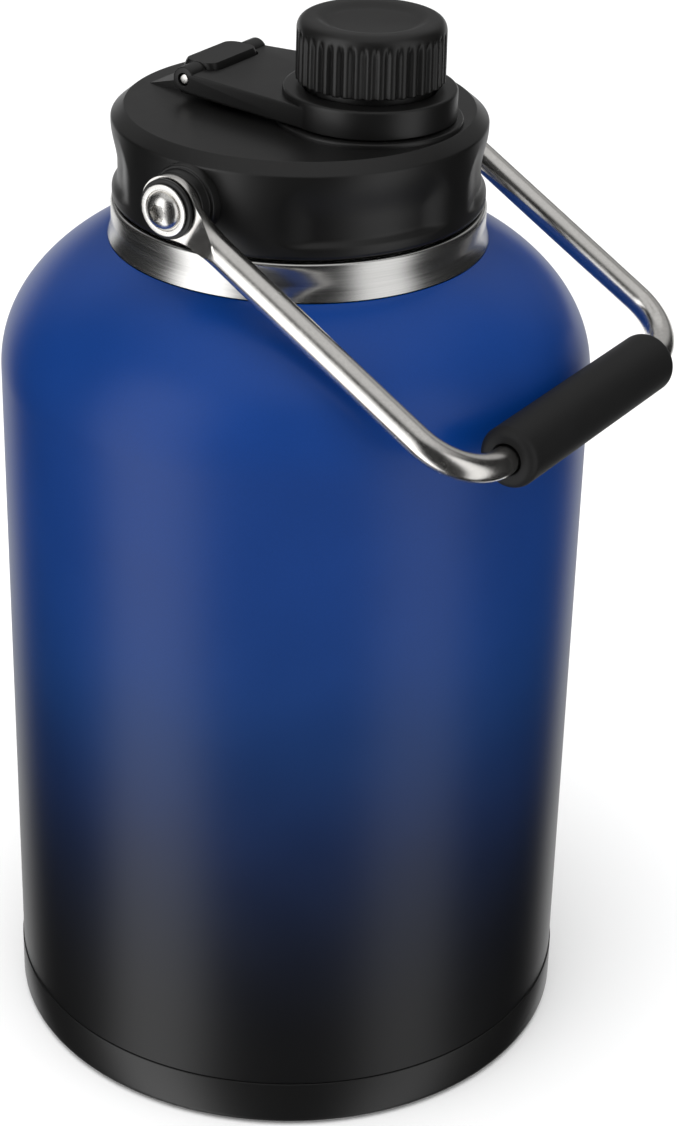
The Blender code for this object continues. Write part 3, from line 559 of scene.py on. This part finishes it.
def threadOn(name, wall, thread, low, centre=0.0, start=0.0, facing=1.0):
    sizes = {"Radius": wall + facing * thread.threadDepth / 2 - facing * threadSink,
             "Lead": thread.lead, "Turns": thread.turns, "Ridge depth": thread.threadDepth,
             "Ridge width": thread.ridge, "Crest width": thread.crest, "Start": start, "Low": low,
             "Centre": centre, "Facing": facing}
    return runTree(emptyPiece(name), threadTree, sizes, paint["lidPlastic"])


# ---- lid cover: chamfered screw lid with four scooped finger holds ----

lid = SimpleNamespace(radius=0.0494, low=0.2473, top=0.2724, wall=0.0030, chamferIn=0.0035,
    chamferDown=0.0029, chamferEdge=0.0009, roofCorner=0.0015, foot=0.0016, edge=0.0005,
    steps=360, rows=46, skin=0.0003, holdDepth=0.0016,
    holdLow=0.2503, holdSharp=0.0024, holdFlat=0.2573, holdHigh=0.2684, holdStart=3.5,
    holdEnd=63.5, holdSide=13.0, platformX=0.0214, platformRadius=0.0242, platformTop=0.2737,
    platformFoot=0.001, platformEdge=0.0006, spoutHole=0.0146)
hinge = SimpleNamespace(x=-0.0255, z=0.2779, pinRadius=0.00145, pinEnd=0.0164, lugHalf=0.0105,
    lugReach=0.0057, lugCorner=0.0028, lugRise=0.0033, lugTail=0.0155, tailRise=0.0025,
    lugRoot=0.0019)
pivot = SimpleNamespace(z=0.2604, stepRadius=0.0094, stepFace=0.0516, bossRadius=0.0084,
    bossFace=0.05475, pocketRadius=0.0042, pocketEnd=0.04615, backRadius=0.0065, back=0.04495,
    backEdge=0.0004, stepRise=0.0008, stepEdge=0.0005, rootEdge=0.0003, bossEdge=0.0005)


def smooth(share):
    share = min(1.0, max(0.0, share))
    return share * share * (3 - 2 * share)


def holdDepthAt(angle, z):
    # how deep the nearest finger hold is here: soft at the top and ends, crisper along the bottom
    degrees = abs(math.degrees(angle)) % 180
    degrees = min(degrees, 180 - degrees)
    side = min(degrees - lid.holdStart, lid.holdEnd - degrees) / lid.holdSide
    low = (z - lid.holdLow) / lid.holdSharp
    high = (lid.holdHigh - z) / (lid.holdHigh - lid.holdFlat)
    short = math.hypot(1 - smooth(side), 1 - smooth(min(low, high)))
    return lid.holdDepth * max(0.0, 1 - short)


def lugPlan(margin, steps=8):
    half = hinge.lugHalf + margin
    corner = hinge.lugCorner + margin
    front = hinge.x + hinge.lugReach + margin
    back = hinge.x - hinge.lugTail - 0.001
    outline = [(back, -half)] + arcPoints((front - corner, -half + corner), corner, -90, 0, steps)
    return outline + arcPoints((front - corner, half - corner), corner, 0, 90, steps) + [(back, half)]


def makeLug():
    x, z = hinge.x, hinge.z
    half, corner, reach = hinge.lugHalf, hinge.lugCorner, hinge.lugReach
    side = arcPoints((reach - corner, half - corner), corner, 0, 90, 8)
    barrel = [(0, -half)] + [(r, -y) for r, y in side[::-1]] + side + [(0, half)]
    lug = finishMesh(latheSideways(barrel, 96, x, z), "lug")
    top, ahead, apart = lid.top, 0.001, 0.01
    root, tail, back = top - hinge.lugRoot, top + hinge.tailRise, x - hinge.lugTail
    footOutline = [(x + reach + ahead, root), (x + reach + ahead, z - hair), (x, z - hair), (x, tail),
                   (x - reach - ahead, tail), (back, top + hair), (back, root)]
    foot = finishMesh(sideBlock(footOutline, half + past), "lugFoot")
    plan = finishMesh(softPlate(lugPlan(-hair), top - 0.004, z + apart, hair, 1), "lugPlan")
    combine(foot, [plan], "INTERSECT")
    combine(lug, [foot], "UNION")
    flat, clear = z + hinge.lugRise, z + apart
    above = finishMesh(sideBlock([(x - apart, flat), (x + apart, flat), (x + apart, clear),
                                  (x - apart, clear)], half + past), "lugFlat")
    return combine(lug, [above], "DIFFERENCE")


def makePinWay():
    reach = 0.02
    hole = hinge.pinRadius + fit
    return finishMesh(latheSideways([(0, -reach), (hole, -reach), (hole, reach), (0, reach)], 40,
                                    hinge.x, hinge.z), "pinWay")


def makeLidCover():
    size = lid
    inside = size.radius - size.wall
    roof = size.top - size.wall
    wallLow = size.low + size.foot
    wallHigh = size.top - size.chamferDown
    outline = [(inside, size.low)]
    outline += arcPoints((size.radius - size.foot, wallLow), size.foot, -90, 0, 6)
    outline += [(size.radius, wallLow + (wallHigh - wallLow - size.edge) * k / size.rows)
                for k in range(1, size.rows)]
    outline += softOutline([(size.radius, wallHigh - 0.002), (size.radius, wallHigh, size.chamferEdge),
                            (size.radius - size.chamferIn, size.top, size.edge),
                            (0, size.top), (0, roof), (inside, roof, size.roofCorner)])[1:]
    bm = lathe(outline, size.steps)
    for vert in bm.verts:
        away = vert.co.xy.length
        if away > size.radius - size.skin:
            depth = holdDepthAt(math.atan2(vert.co.y, vert.co.x), vert.co.z)
            vert.co.xy *= 1 - depth / away
    cover = finishMesh(bm, "lidCover")
    platform = softOutline([(0, size.top - size.platformFoot), (size.platformRadius, size.top - size.platformFoot),
                            (size.platformRadius, size.platformTop, size.platformEdge), (0, size.platformTop)])
    added = [finishMesh(lathe(platform, 160, (size.platformX, 0)), "platform"), makeLug()]
    boss = softOutline([(0, pivot.back), (pivot.backRadius, pivot.back, pivot.backEdge),
                        (pivot.backRadius, inside), (pivot.stepRadius, inside + pivot.stepRise),
                        (pivot.stepRadius, pivot.stepFace, pivot.stepEdge),
                        (pivot.bossRadius, pivot.stepFace, pivot.rootEdge),
                        (pivot.bossRadius, pivot.bossFace, pivot.bossEdge), (0, pivot.bossFace)])
    pocket = [(0, pivot.pocketEnd), (pivot.pocketRadius, pivot.pocketEnd),
              (pivot.pocketRadius, pivot.bossFace + past), (0, pivot.bossFace + past)]
    cutters = []
    for side in (-1, 1):
        added.append(finishMesh(latheSideways(boss, 72, 0, pivot.z, side), "boss"))
        cutters.append(finishMesh(latheSideways(pocket, 48, 0, pivot.z, side), "pocket"))
    combine(cover, added, "UNION")
    way = [(0, size.low), (size.spoutHole, size.low), (size.spoutHole, size.platformTop + 0.005),
           (0, size.platformTop + 0.005)]
    cutters.append(finishMesh(lathe(way, 128, (size.platformX, 0)), "spoutWay"))
    cutters.append(makePinWay())
    return combine(cover, cutters, "DIFFERENCE")


put(makeLidCover(), paint["lidPlastic"], "lid", "black_plastic", "lid_cover")
print("lid cover done")


# ---- lid plug: threaded cup below the cover, with the drinking spout through it ----

plug = SimpleNamespace(low=0.2220, radius=0.0424, wall=0.0025, flangeRadius=0.0461,
    flangeLow=0.2496, flangeTop=0.2526, threadDepth=0.0017, threadLow=0.2315, lead=0.006,
    turns=1.25, ridge=0.0024, crest=0.0014)
spout = SimpleNamespace(x=0.0214, bore=0.0110, radius=0.0132, top=0.2815, threadDepth=0.0011,
    threadLow=0.2761, lead=0.004, turns=0.9, ridge=0.0016, crest=0.0009)


mouthFlare = 0.0026                            # how far a mouth's cutter opens above its rim


def makeLidPlug():
    size = plug
    inner = size.radius - size.wall
    cup = softOutline([(0, size.low), (size.radius, size.low, 0.0015),
                       (size.radius, size.flangeLow, 0.0003), (size.flangeRadius, size.flangeLow),
                       (size.flangeRadius, size.flangeTop), (inner, size.flangeTop),
                       (inner, size.low + size.wall, 0.001), (0, size.low + size.wall)])
    piece = finishMesh(lathe(cup, 160), "lidPlug")
    pipe = softOutline([(0, size.low + 0.0005), (spout.radius, size.low + 0.0005),
                        (spout.radius, spout.top, 0.0006), (0, spout.top)])
    combine(piece, [finishMesh(lathe(pipe, 128, (spout.x, 0)), "pipe")], "UNION")
    flow = softOutline([(0, size.low - past), (spout.bore + 0.0003, size.low - past),
                        (spout.bore, size.low + 0.001), (spout.bore, spout.top - 0.0005),
                        (spout.bore + mouthFlare, spout.top + past), (0, spout.top + past)])
    combine(piece, [finishMesh(lathe(flow, 128, (spout.x, 0)), "flow")], "DIFFERENCE")
    ridges = [threadOn("plugThread", size.radius, plug, size.threadLow),
              threadOn("spoutThread", spout.radius, spout, spout.threadLow, spout.x)]
    return combine(piece, ridges, "UNION")


put(makeLidPlug(), paint["lidPlastic"], "lid", "black_plastic", "lid_plug")
print("lid plug done")


# ---- hinge pin ----

def makePin():
    end, r = hinge.pinEnd, hinge.pinRadius
    outline = softOutline([(0, -end), (r, -end, 0.0005), (r, end, 0.0005), (0, end)])
    return finishMesh(latheSideways(outline, 40, hinge.x, hinge.z), "hingePin", 50)


put(makePin(), paint["screwSteel"], "lid", "polished_steel", "hinge_pin")


# ---- hinged arm: plate from the hinge that runs into the ring round the cap ----

arm = SimpleNamespace(low=0.2740, top=0.2796, halfWidth=0.0165, edge=0.0007, ringRadius=0.0225,
    ringTop=0.2815, ringEdge=0.0009, mouth=0.0170, chamber=0.0198, lip=0.0021, knuckle=0.0033,
    knuckleIn=0.0085, knuckleOut=0.0167)


def makeArm():
    size = arm
    dx = spout.x - hinge.x
    meet = size.ringRadius - 0.0003
    lean = math.asin(meet / math.hypot(dx, size.halfWidth)) - math.atan2(size.halfWidth, dx)
    touchX = spout.x - meet * math.sin(lean)
    touchY = meet * math.cos(lean)
    back = hinge.x - size.knuckle / 3
    plan = [(back, -size.halfWidth), (touchX, -touchY), (touchX, touchY), (back, size.halfWidth)]
    piece = finishMesh(softPlate(plan, size.low, size.top, size.edge), "hingeArm")
    ring = softOutline([(0, size.low + 0.0001), (size.ringRadius, size.low + 0.0001, 0.0003),
                        (size.ringRadius, size.ringTop, size.ringEdge), (0, size.ringTop)])
    added = [finishMesh(lathe(ring, 192, (spout.x, 0)), "ring")]
    knuckle = softOutline([(0, size.knuckleIn), (size.knuckle, size.knuckleIn),
                           (size.knuckle, size.knuckleOut, 0.0004), (0, size.knuckleOut)])
    for side in (-1, 1):
        added.append(finishMesh(latheSideways(knuckle, 64, hinge.x, hinge.z, side), "knuckle"))
    combine(piece, added, "UNION")
    through = 0.005
    notchPlate = softPlate(lugPlan(fit), size.low - through, size.ringTop + through, hair, 1)
    notch = finishMesh(notchPlate, "notch")
    high = size.ringTop - size.lip
    bore = softOutline([(0, size.low - past), (size.chamber, size.low - past),
                        (size.chamber, high), (size.mouth, high),
                        (size.mouth, size.ringTop - 0.0006),
                        (size.mouth + mouthFlare, size.ringTop + past), (0, size.ringTop + past)])
    boreCut = finishMesh(lathe(bore, 160, (spout.x, 0)), "bore")
    return combine(piece, [notch, makePinWay(), boreCut], "DIFFERENCE")


put(makeArm(), paint["lidPlastic"], "arm", "black_plastic", "hinge_arm")
print("arm done")


# ---- pour cap: ribbed shell over a threaded core ----

cap = SimpleNamespace(low=0.2832, top=0.2992, radius=0.0192, inner=0.0170, roof=0.2958,
    round=0.0030, rimIn=0.0148, rimWidth=0.0009, dishOut=0.0105, dishDepth=0.0012, stepsPerRib=10,
    foot=0.0005, roundIn=0.0026, sideSteps=14, bendSteps=10)
capRibs = {"Centre": 0.0214, "Ribs": 40, "Groove depth": 0.0008, "Outer radius": 0.0192, "Low": 0.2834,
           "Full to": 0.2943, "Gone by": 0.2972, "Sharpness": 2.2}


def makeRibTree(material):
    # presses evenly spaced grooves into the side of the cap, fading out below its top edge
    tree, given, output = geometryTree("capRibs", capRibs)
    spot = splitXYZ(tree, tree.nodes.new("GeometryNodeInputPosition").outputs[0])
    x = calc(tree, "SUBTRACT", spot["X"], given["Centre"])
    y = spot["Y"]
    squares = calc(tree, "ADD", calc(tree, "MULTIPLY", x, x), calc(tree, "MULTIPLY", y, y))
    away = calc(tree, "SQRT", squares)
    wave = calc(tree, "COSINE", calc(tree, "MULTIPLY", calc(tree, "ARCTAN2", y, x), given["Ribs"]))
    groove = calc(tree, "POWER", calc(tree, "MULTIPLY_ADD", wave, 0.5, 0.5), given["Sharpness"])
    band = 0.0016                              # the grooves act on what lies this near the outside
    onSide = calc(tree, "GREATER_THAN", away, calc(tree, "SUBTRACT", given["Outer radius"], band))
    fade = addNode(tree, "ShaderNodeMapRange", {
        "Value": spot["Z"], "From Min": given["Full to"], "From Max": given["Gone by"],
        "To Min": 1.0, "To Max": 0.0}, interpolation_type="SMOOTHSTEP").outputs["Result"]
    depth = calc(tree, "MULTIPLY", calc(tree, "MULTIPLY", groove, given["Groove depth"]),
                 calc(tree, "MULTIPLY", onSide, fade))
    pull = calc(tree, "DIVIDE", calc(tree, "MULTIPLY", depth, -1.0), calc(tree, "MAXIMUM", away, 0.001))
    offset = joinXYZ(tree, X=calc(tree, "MULTIPLY", x, pull), Y=calc(tree, "MULTIPLY", y, pull))
    move = addNode(tree, "GeometryNodeSetPosition", {"Geometry": given["Geometry"], "Offset": offset})
    endTree(tree, move.outputs[0], output, material)
    return tree


def makeCapShell():
    size = cap
    outline = softOutline([(size.inner, size.low), (size.radius, size.low, size.foot),
                           (size.radius, size.top)])[:-1]
    sideLow = size.low + size.foot
    sideTop = size.top - size.round
    for k in range(1, size.sideSteps + 1):  # the side leans in by a hair
        share = k / size.sideSteps
        outline.append((size.radius - hair * share, sideLow + (sideTop - sideLow) * share))
    for k in range(1, size.bendSteps + 1):  # rounded shoulder of the cap
        bend = math.pi / 2 * k / size.bendSteps
        outline.append((size.radius - hair - size.roundIn * (1 - math.cos(bend)),
                        sideTop + size.round * math.sin(bend)))
    outline += [(size.rimIn + size.rimWidth, size.top)]
    for k in range(size.bendSteps + 1):     # shallow dish
        share = k / size.bendSteps
        outline.append((size.rimIn - (size.rimIn - size.dishOut) * share,
                        size.top - size.dishDepth * smooth(share)))
    floor = size.top - size.dishDepth
    outline += [(0, floor), (0, size.roof), (size.inner, size.roof)]
    bm = lathe(outline, capRibs["Ribs"] * size.stepsPerRib, (capRibs["Centre"], 0))
    piece = finishMesh(bm, "capShell")
    return runTree(piece, makeRibTree(paint["capPlastic"]), capRibs, paint["capPlastic"])


put(makeCapShell(), paint["capPlastic"], "cap", "black_plastic", "cap_shell")

core = SimpleNamespace(bore=0.0148, radius=0.0167, flange=0.0195, low=0.2741, flangeTop=0.2755,
    roofLow=0.2841, roofTop=0.2859, threadLow=0.2751)


def makeCapCore():
    size = core
    outline = softOutline([(size.bore, size.low, 0.0003), (size.flange, size.low, 0.0003),
                           (size.flange, size.flangeTop, 0.0003), (size.radius, size.flangeTop),
                           (size.radius, size.roofTop, 0.0004), (0, size.roofTop),
                           (0, size.roofLow), (size.bore, size.roofLow, 0.0004)])
    piece = finishMesh(lathe(outline, 128, (spout.x, 0)), "capCore")
    ridge = threadOn("coreThread", size.bore, spout, size.threadLow, spout.x, turn / 4, -1.0)
    return combine(piece, [ridge], "UNION")


put(makeCapCore(), paint["capPlastic"], "cap", "black_plastic", "cap_core")
print("cap done")


# ---- bail handle: round steel rod, pressed flat into an eye at each end ----

handle = SimpleNamespace(length=0.1017, halfWidth=0.05625, angle=59.6, bend=0.0166, rod=0.00375,
    eye=0.0083, eyeHalf=0.0012, eyeTangent=0.0045, flatUntil=0.0090, roundFrom=0.0172,
    neckUntil=0.0165, hole=0.0049, pressedOut=0.0012)


def handleFrame():
    lean = math.radians(handle.angle)
    return Vector((math.sin(lean), 0, -math.cos(lean))), Vector((math.cos(lean), 0, math.sin(lean)))


def rodSection(wide, across, clip):
    # an oval (half sizes wide and across) with two flats pressed into it at +-clip
    start = math.asin(min(0.985, clip / across))
    angles = [-start + 2 * start * k / 12 for k in range(12)]
    angles += [start + (math.pi - 2 * start) * k / 10 for k in range(10)]
    angles += [math.pi - start + 2 * start * k / 12 for k in range(12)]
    angles += [math.pi + start + (math.pi - 2 * start) * k / 10 for k in range(10)]
    return [(wide * math.cos(a), max(-clip, min(clip, across * math.sin(a)))) for a in angles]


def rodStations():
    # (side, reach, half width, half size across, clip), from an eye's tip to the grip's middle
    size = handle
    stations = []
    for k in range(1, 22):                     # round end of the eye
        bend = math.pi * (k - 0.5) / 42
        stations.append((-size.eye * math.cos(bend), size.eye * math.sin(bend)))
    tangent = size.eyeTangent
    wideThere = math.sqrt(size.eye ** 2 - tangent ** 2)
    for k in range(1, 7):
        s = tangent * k / 6
        stations.append((s, math.sqrt(size.eye ** 2 - s * s)))
    span = size.neckUntil - tangent
    slope = -tangent / wideThere * span
    for k in range(1, 21):                     # narrows in one smooth curve to the rod
        t = k / 20
        wide = ((2 * t ** 3 - 3 * t ** 2 + 1) * wideThere + (t ** 3 - 2 * t ** 2 + t) * slope
                + (3 * t ** 2 - 2 * t ** 3) * size.rod)
        stations.append((tangent + span * t, wide))
    stations += [(size.roundFrom + 0.001, size.rod), (0.030, size.rod), (0.060, size.rod)]
    rows = []
    for s, wide in stations:
        press = min(1.0, max(0.0, (s - size.flatUntil) / (size.roundFrom - size.flatUntil)))
        clip = size.eyeHalf + (size.rod - size.eyeHalf) * press
        across = size.rod + size.pressedOut * (1 - smooth(press))
        rows.append((size.halfWidth, s, wide, across, clip))
    straight = size.length - size.bend
    for side, reach in arcPoints((size.halfWidth - size.bend, straight), size.bend, 0, 90, 20):
        rows.append((side, reach, size.rod, size.rod, size.rod))
    rows.append((0.015, size.length, size.rod, size.rod, size.rod))
    return rows


def makeRod():
    reachWay, square = handleFrame()
    middle = Vector((0, 0, pivot.z))
    rows = rodStations()
    rows += [(-side, reach, wide, across, clip) for side, reach, wide, across, clip in rows[::-1]]
    bm = bmesh.new()
    rings = []
    for i, (side, reach, wide, across, clip) in enumerate(rows):
        before, after = rows[max(i - 1, 0)], rows[min(i + 1, len(rows) - 1)]
        way = Vector((after[0] - before[0], after[1] - before[1])).normalized()
        sideways = Vector((0, -way.y, 0)) + reachWay * way.x
        centre = middle + Vector((0, side, 0)) + reachWay * reach
        rings.append([bm.verts.new(centre + square * a + sideways * b)
                      for a, b in rodSection(wide, across, clip)])
    count = len(rings[0])
    for a, b in zip(rings, rings[1:]):
        for k in range(count):
            n = (k + 1) % count
            bm.faces.new((a[k], a[n], b[n], b[k]))
    bm.faces.new(rings[0])
    bm.faces.new(rings[-1])
    rod = finishMesh(bm, "handleRod", 30)
    near, far = handle.halfWidth - 0.004, handle.halfWidth + 0.004
    holeShape = [(0, near), (handle.hole, near), (handle.hole, far), (0, far)]
    holes = [finishMesh(latheSideways(holeShape, 64, 0, pivot.z, side), "eyeHole") for side in (-1, 1)]
    combine(rod, holes, "DIFFERENCE")
    return rod


put(makeRod(), paint["rodSteel"], "handle", "polished_steel", "handle_rod")

grip = SimpleNamespace(radius=0.0081, halfLength=0.0377, edge=0.0024, hole=0.00405,
    holeEdge=0.0005)


def makeGrip():
    reachWay, _ = handleFrame()
    middle = Vector((0, 0, pivot.z)) + reachWay * handle.length
    end, r = grip.halfLength, grip.radius
    outline = softOutline([(grip.hole, -end, grip.holeEdge), (r, -end, grip.edge),
                           (r, end, grip.edge), (grip.hole, end, grip.holeEdge)], 10)
    return finishMesh(latheSideways(outline, 96, middle.x, middle.z), "handleGrip", 50)


put(makeGrip(), paint["gripRubber"], "handle", "black_rubber", "handle_grip")
print("handle done")


# ---- pivots: flanged nylon bushing and a button-head screw on each side ----

bushing = SimpleNamespace(bore=0.0028, sleeve=0.0046, inner=0.05505, face=0.05775, flange=0.0077,
    outer=0.05875)
screw = SimpleNamespace(radius=0.0025, end=0.04705, face=0.05905, flange=0.00666,
    flangeTop=0.05975, groove=0.0004, grooveRadius=0.0053, dome=0.0049, domeHigh=0.0029,
    domeUntil=62.0, flangeEdge=0.0002, slope=0.0002, grooveEdge=0.00015, tipIn=0.0002, tipRise=0.00008,
    domeSteps=12, socket=0.00236, socketDip=0.0006, socketTop=0.066, socketFloor=0.0600)


def makeBushing(side):
    outline = softOutline([(bushing.bore, bushing.inner), (bushing.sleeve, bushing.inner),
                           (bushing.sleeve, bushing.face), (bushing.flange, bushing.face, 0.0003),
                           (bushing.flange, bushing.outer, 0.0003), (bushing.bore, bushing.outer)])
    name = "pivotBushingNear" if side < 0 else "pivotBushingFar"
    return finishMesh(latheSideways(outline, 72, 0, pivot.z, side), name)


def makeScrew(side):
    size = screw
    sunk = size.flangeTop - size.groove
    outline = [(0, size.end), (size.radius, size.end), (size.radius, size.face)]
    outline += softOutline([(size.radius, size.face), (size.flange, size.face, size.flangeEdge),
                            (size.flange, size.flangeTop, size.flangeEdge),
                            (size.grooveRadius, size.flangeTop, size.grooveEdge),
                            (size.grooveRadius - size.slope, sunk), (size.dome, sunk)])[1:-1]
    for k in range(size.domeSteps + 1):
        bend = math.radians(size.domeUntil) * k / size.domeSteps
        outline.append((size.dome * math.cos(bend), sunk + size.domeHigh * math.sin(bend)))
    top = outline[-1][1]
    outline += [(outline[-1][0] - size.tipIn, top + size.tipRise), (0, top + size.tipRise)]
    name = "pivotScrewNear" if side < 0 else "pivotScrewFar"
    piece = finishMesh(latheSideways(outline, 72, 0, pivot.z, side), name)
    socket = [(0, size.socketFloor - size.socketDip), (size.socket, size.socketFloor),
              (size.socket, size.socketTop), (0, size.socketTop)]
    hexagon = finishMesh(latheSideways(socket, 6, 0, pivot.z, side), "socket")
    return combine(piece, [hexagon], "DIFFERENCE")


for side, cadSide in ((-1, "left"), (1, "right")):
    put(makeBushing(side), paint["bushNylon"], "lid", "black_nylon", f"pivot_bushing_{cadSide}")
    put(makeScrew(side), paint["screwSteel"], "lid", "polished_steel", f"pivot_screw_{cadSide}")
print("pivots done")


# ---- inner pieces keep their own shapes and get a finish ----

innerFinish = {"inner_liner": "drawnSteel", "getter": "getterMetal", "lid_gasket": "clearSilicone",
               "lid_foam": "lidFoam", "cap_seal": "clearSilicone",
               "threaded_insert_left": "insertBrass", "threaded_insert_right": "insertBrass"}
for nodeName, finishName in innerFinish.items():
    for spot in cadNodes[nodeName].material_slots:
        spot.material = paint[finishName]


# ---- floor, studio light and camera ----

# a patch is a bright area round the jug, in degrees as seen from it: from and to (0 is towards
# the camera), lowest and highest, softness of the edge, then its brightness
studio = SimpleNamespace(
    floorSize=6.0, floorColour=(0.97, 0.97, 0.97), diffuse=1.0, rest=0.02,
    firstAzimuth=-100.0,
    patches=[(-76, -36, -70, 45, 9, 1.75),
             (34, 70, -70, 45, 9, 1.0),
             (142, 218, -70, 5, 8, 1.0),
             (125, 235, 18, 62, 12, 0.4),
             (-200, 260, 50, 91, 14, 0.6)])
cameraView = SimpleNamespace(place=(0.3710, -0.55107, 0.48942),
    towards=(-0.4787, 0.7425, -0.4686), roll=-1.46, lens=84.56)
cameraAzimuth = math.atan2(cameraView.place[1], cameraView.place[0])


def makeFloor():
    bm = bmesh.new()
    bmesh.ops.create_grid(bm, x_segments=1, y_segments=1, size=studio.floorSize / 2)
    floor = finishMesh(bm, "floor")
    floor.location.z = -0.0002
    material = bpy.data.materials.new("paleFloor")
    material.use_nodes = True
    shader = material.node_tree.nodes["Principled BSDF"]
    shader.inputs["Base Color"].default_value = (*studio.floorColour, 1.0)
    shader.inputs["Roughness"].default_value = 0.9
    shader.inputs["Specular IOR Level"].default_value = 0.0
    floor.data.materials.append(material)
    floor.visible_glossy = False
    return floor


def window(tree, value, low, high, soft):
    sides = []
    for edge, rising in ((low, 1.0), (high, 0.0)):
        step = addNode(tree, "ShaderNodeMapRange", {
            "Value": value, "From Min": edge - soft, "From Max": edge + soft,
            "To Min": 1.0 - rising, "To Max": rising}, interpolation_type="SMOOTHSTEP")
        sides.append(step.outputs["Result"])
    return calc(tree, "MULTIPLY", *sides)


def makeWorld():
    world = bpy.data.worlds.new("studio")
    bpy.context.scene.world = world
    world.use_nodes = True
    world.cycles.sampling_method = "NONE"
    tree = world.node_tree
    back = tree.nodes["Background"]
    back.inputs["Color"].default_value = (1.0, 1.0, 1.0, 1.0)
    place = tree.nodes.new("ShaderNodeTexCoord").outputs["Generated"]
    spin = addNode(tree, "ShaderNodeVectorRotate", {"Vector": place, "Angle": -cameraAzimuth},
                   rotation_type="Z_AXIS")
    way = splitXYZ(tree, spin.outputs[0])
    azimuth = calc(tree, "DEGREES", calc(tree, "ARCTAN2", way["Y"], way["X"]))
    over = calc(tree, "LESS_THAN", azimuth, studio.firstAzimuth)
    wrapped = calc(tree, "ADD", azimuth, calc(tree, "MULTIPLY", over, 360.0))
    height = calc(tree, "DEGREES", calc(tree, "ARCSINE", way["Z"]))
    total = None
    for low, high, bottom, top, soft, bright in studio.patches:
        patch = calc(tree, "MULTIPLY", window(tree, wrapped, low, high, soft),
                     window(tree, height, bottom, top, soft))
        patch = calc(tree, "MULTIPLY", patch, bright)
        total = patch if total is None else calc(tree, "MAXIMUM", total, patch)
    shine = calc(tree, "MAXIMUM", total, studio.rest)
    path = tree.nodes.new("ShaderNodeLightPath").outputs
    glossy = path["Is Glossy Ray"]
    soft = calc(tree, "MULTIPLY", calc(tree, "SUBTRACT", 1.0, glossy), studio.diffuse)
    both = calc(tree, "ADD", calc(tree, "MULTIPLY", glossy, shine), soft)
    strength = calc(tree, "MAXIMUM", both, path["Is Camera Ray"])
    tree.links.new(strength, back.inputs["Strength"])


def makeLight(name, azimuth, distance, height, size, power):
    # azimuth is in degrees round from the camera; the light faces the middle of the jug
    lamp = bpy.data.lights.new(name, "AREA")
    lamp.shape = "RECTANGLE"
    lamp.size, lamp.size_y = size
    lamp.energy = power
    angle = math.radians(azimuth) + cameraAzimuth
    spot = bpy.data.objects.new(name, lamp)
    bpy.context.scene.collection.objects.link(spot)
    spot.location = (distance * math.cos(angle), distance * math.sin(angle), height)
    aim = Vector((0, 0, 0.15)) - spot.location
    spot.rotation_euler = aim.to_track_quat("-Z", "Y").to_euler()
    spot.visible_camera = False
    spot.visible_glossy = False
    return spot


def makeCamera():
    lens = bpy.data.cameras.new("camera")
    lens.lens = cameraView.lens
    lens.sensor_width = 36.0
    lens.sensor_fit = "AUTO"
    lens.clip_start = 0.01
    view = bpy.data.objects.new("camera", lens)
    bpy.context.scene.collection.objects.link(view)
    forward = Vector(cameraView.towards).normalized()
    right = forward.cross(Vector((0, 0, 1))).normalized()
    up = right.cross(forward)
    roll = math.radians(cameraView.roll)
    rolledRight = right * math.cos(roll) - up * math.sin(roll)
    rolledUp = up * math.cos(roll) + right * math.sin(roll)
    turned = Matrix((rolledRight, rolledUp, -forward)).transposed().to_4x4()
    view.matrix_world = Matrix.Translation(cameraView.place) @ turned
    bpy.context.scene.camera = view


makeFloor()
makeWorld()
makeLight("topLight", -20, 0.5, 1.5, (1.2, 1.2), 12.0)
makeCamera()
bpy.context.scene.view_settings.view_transform = "Standard"
print("studio done")
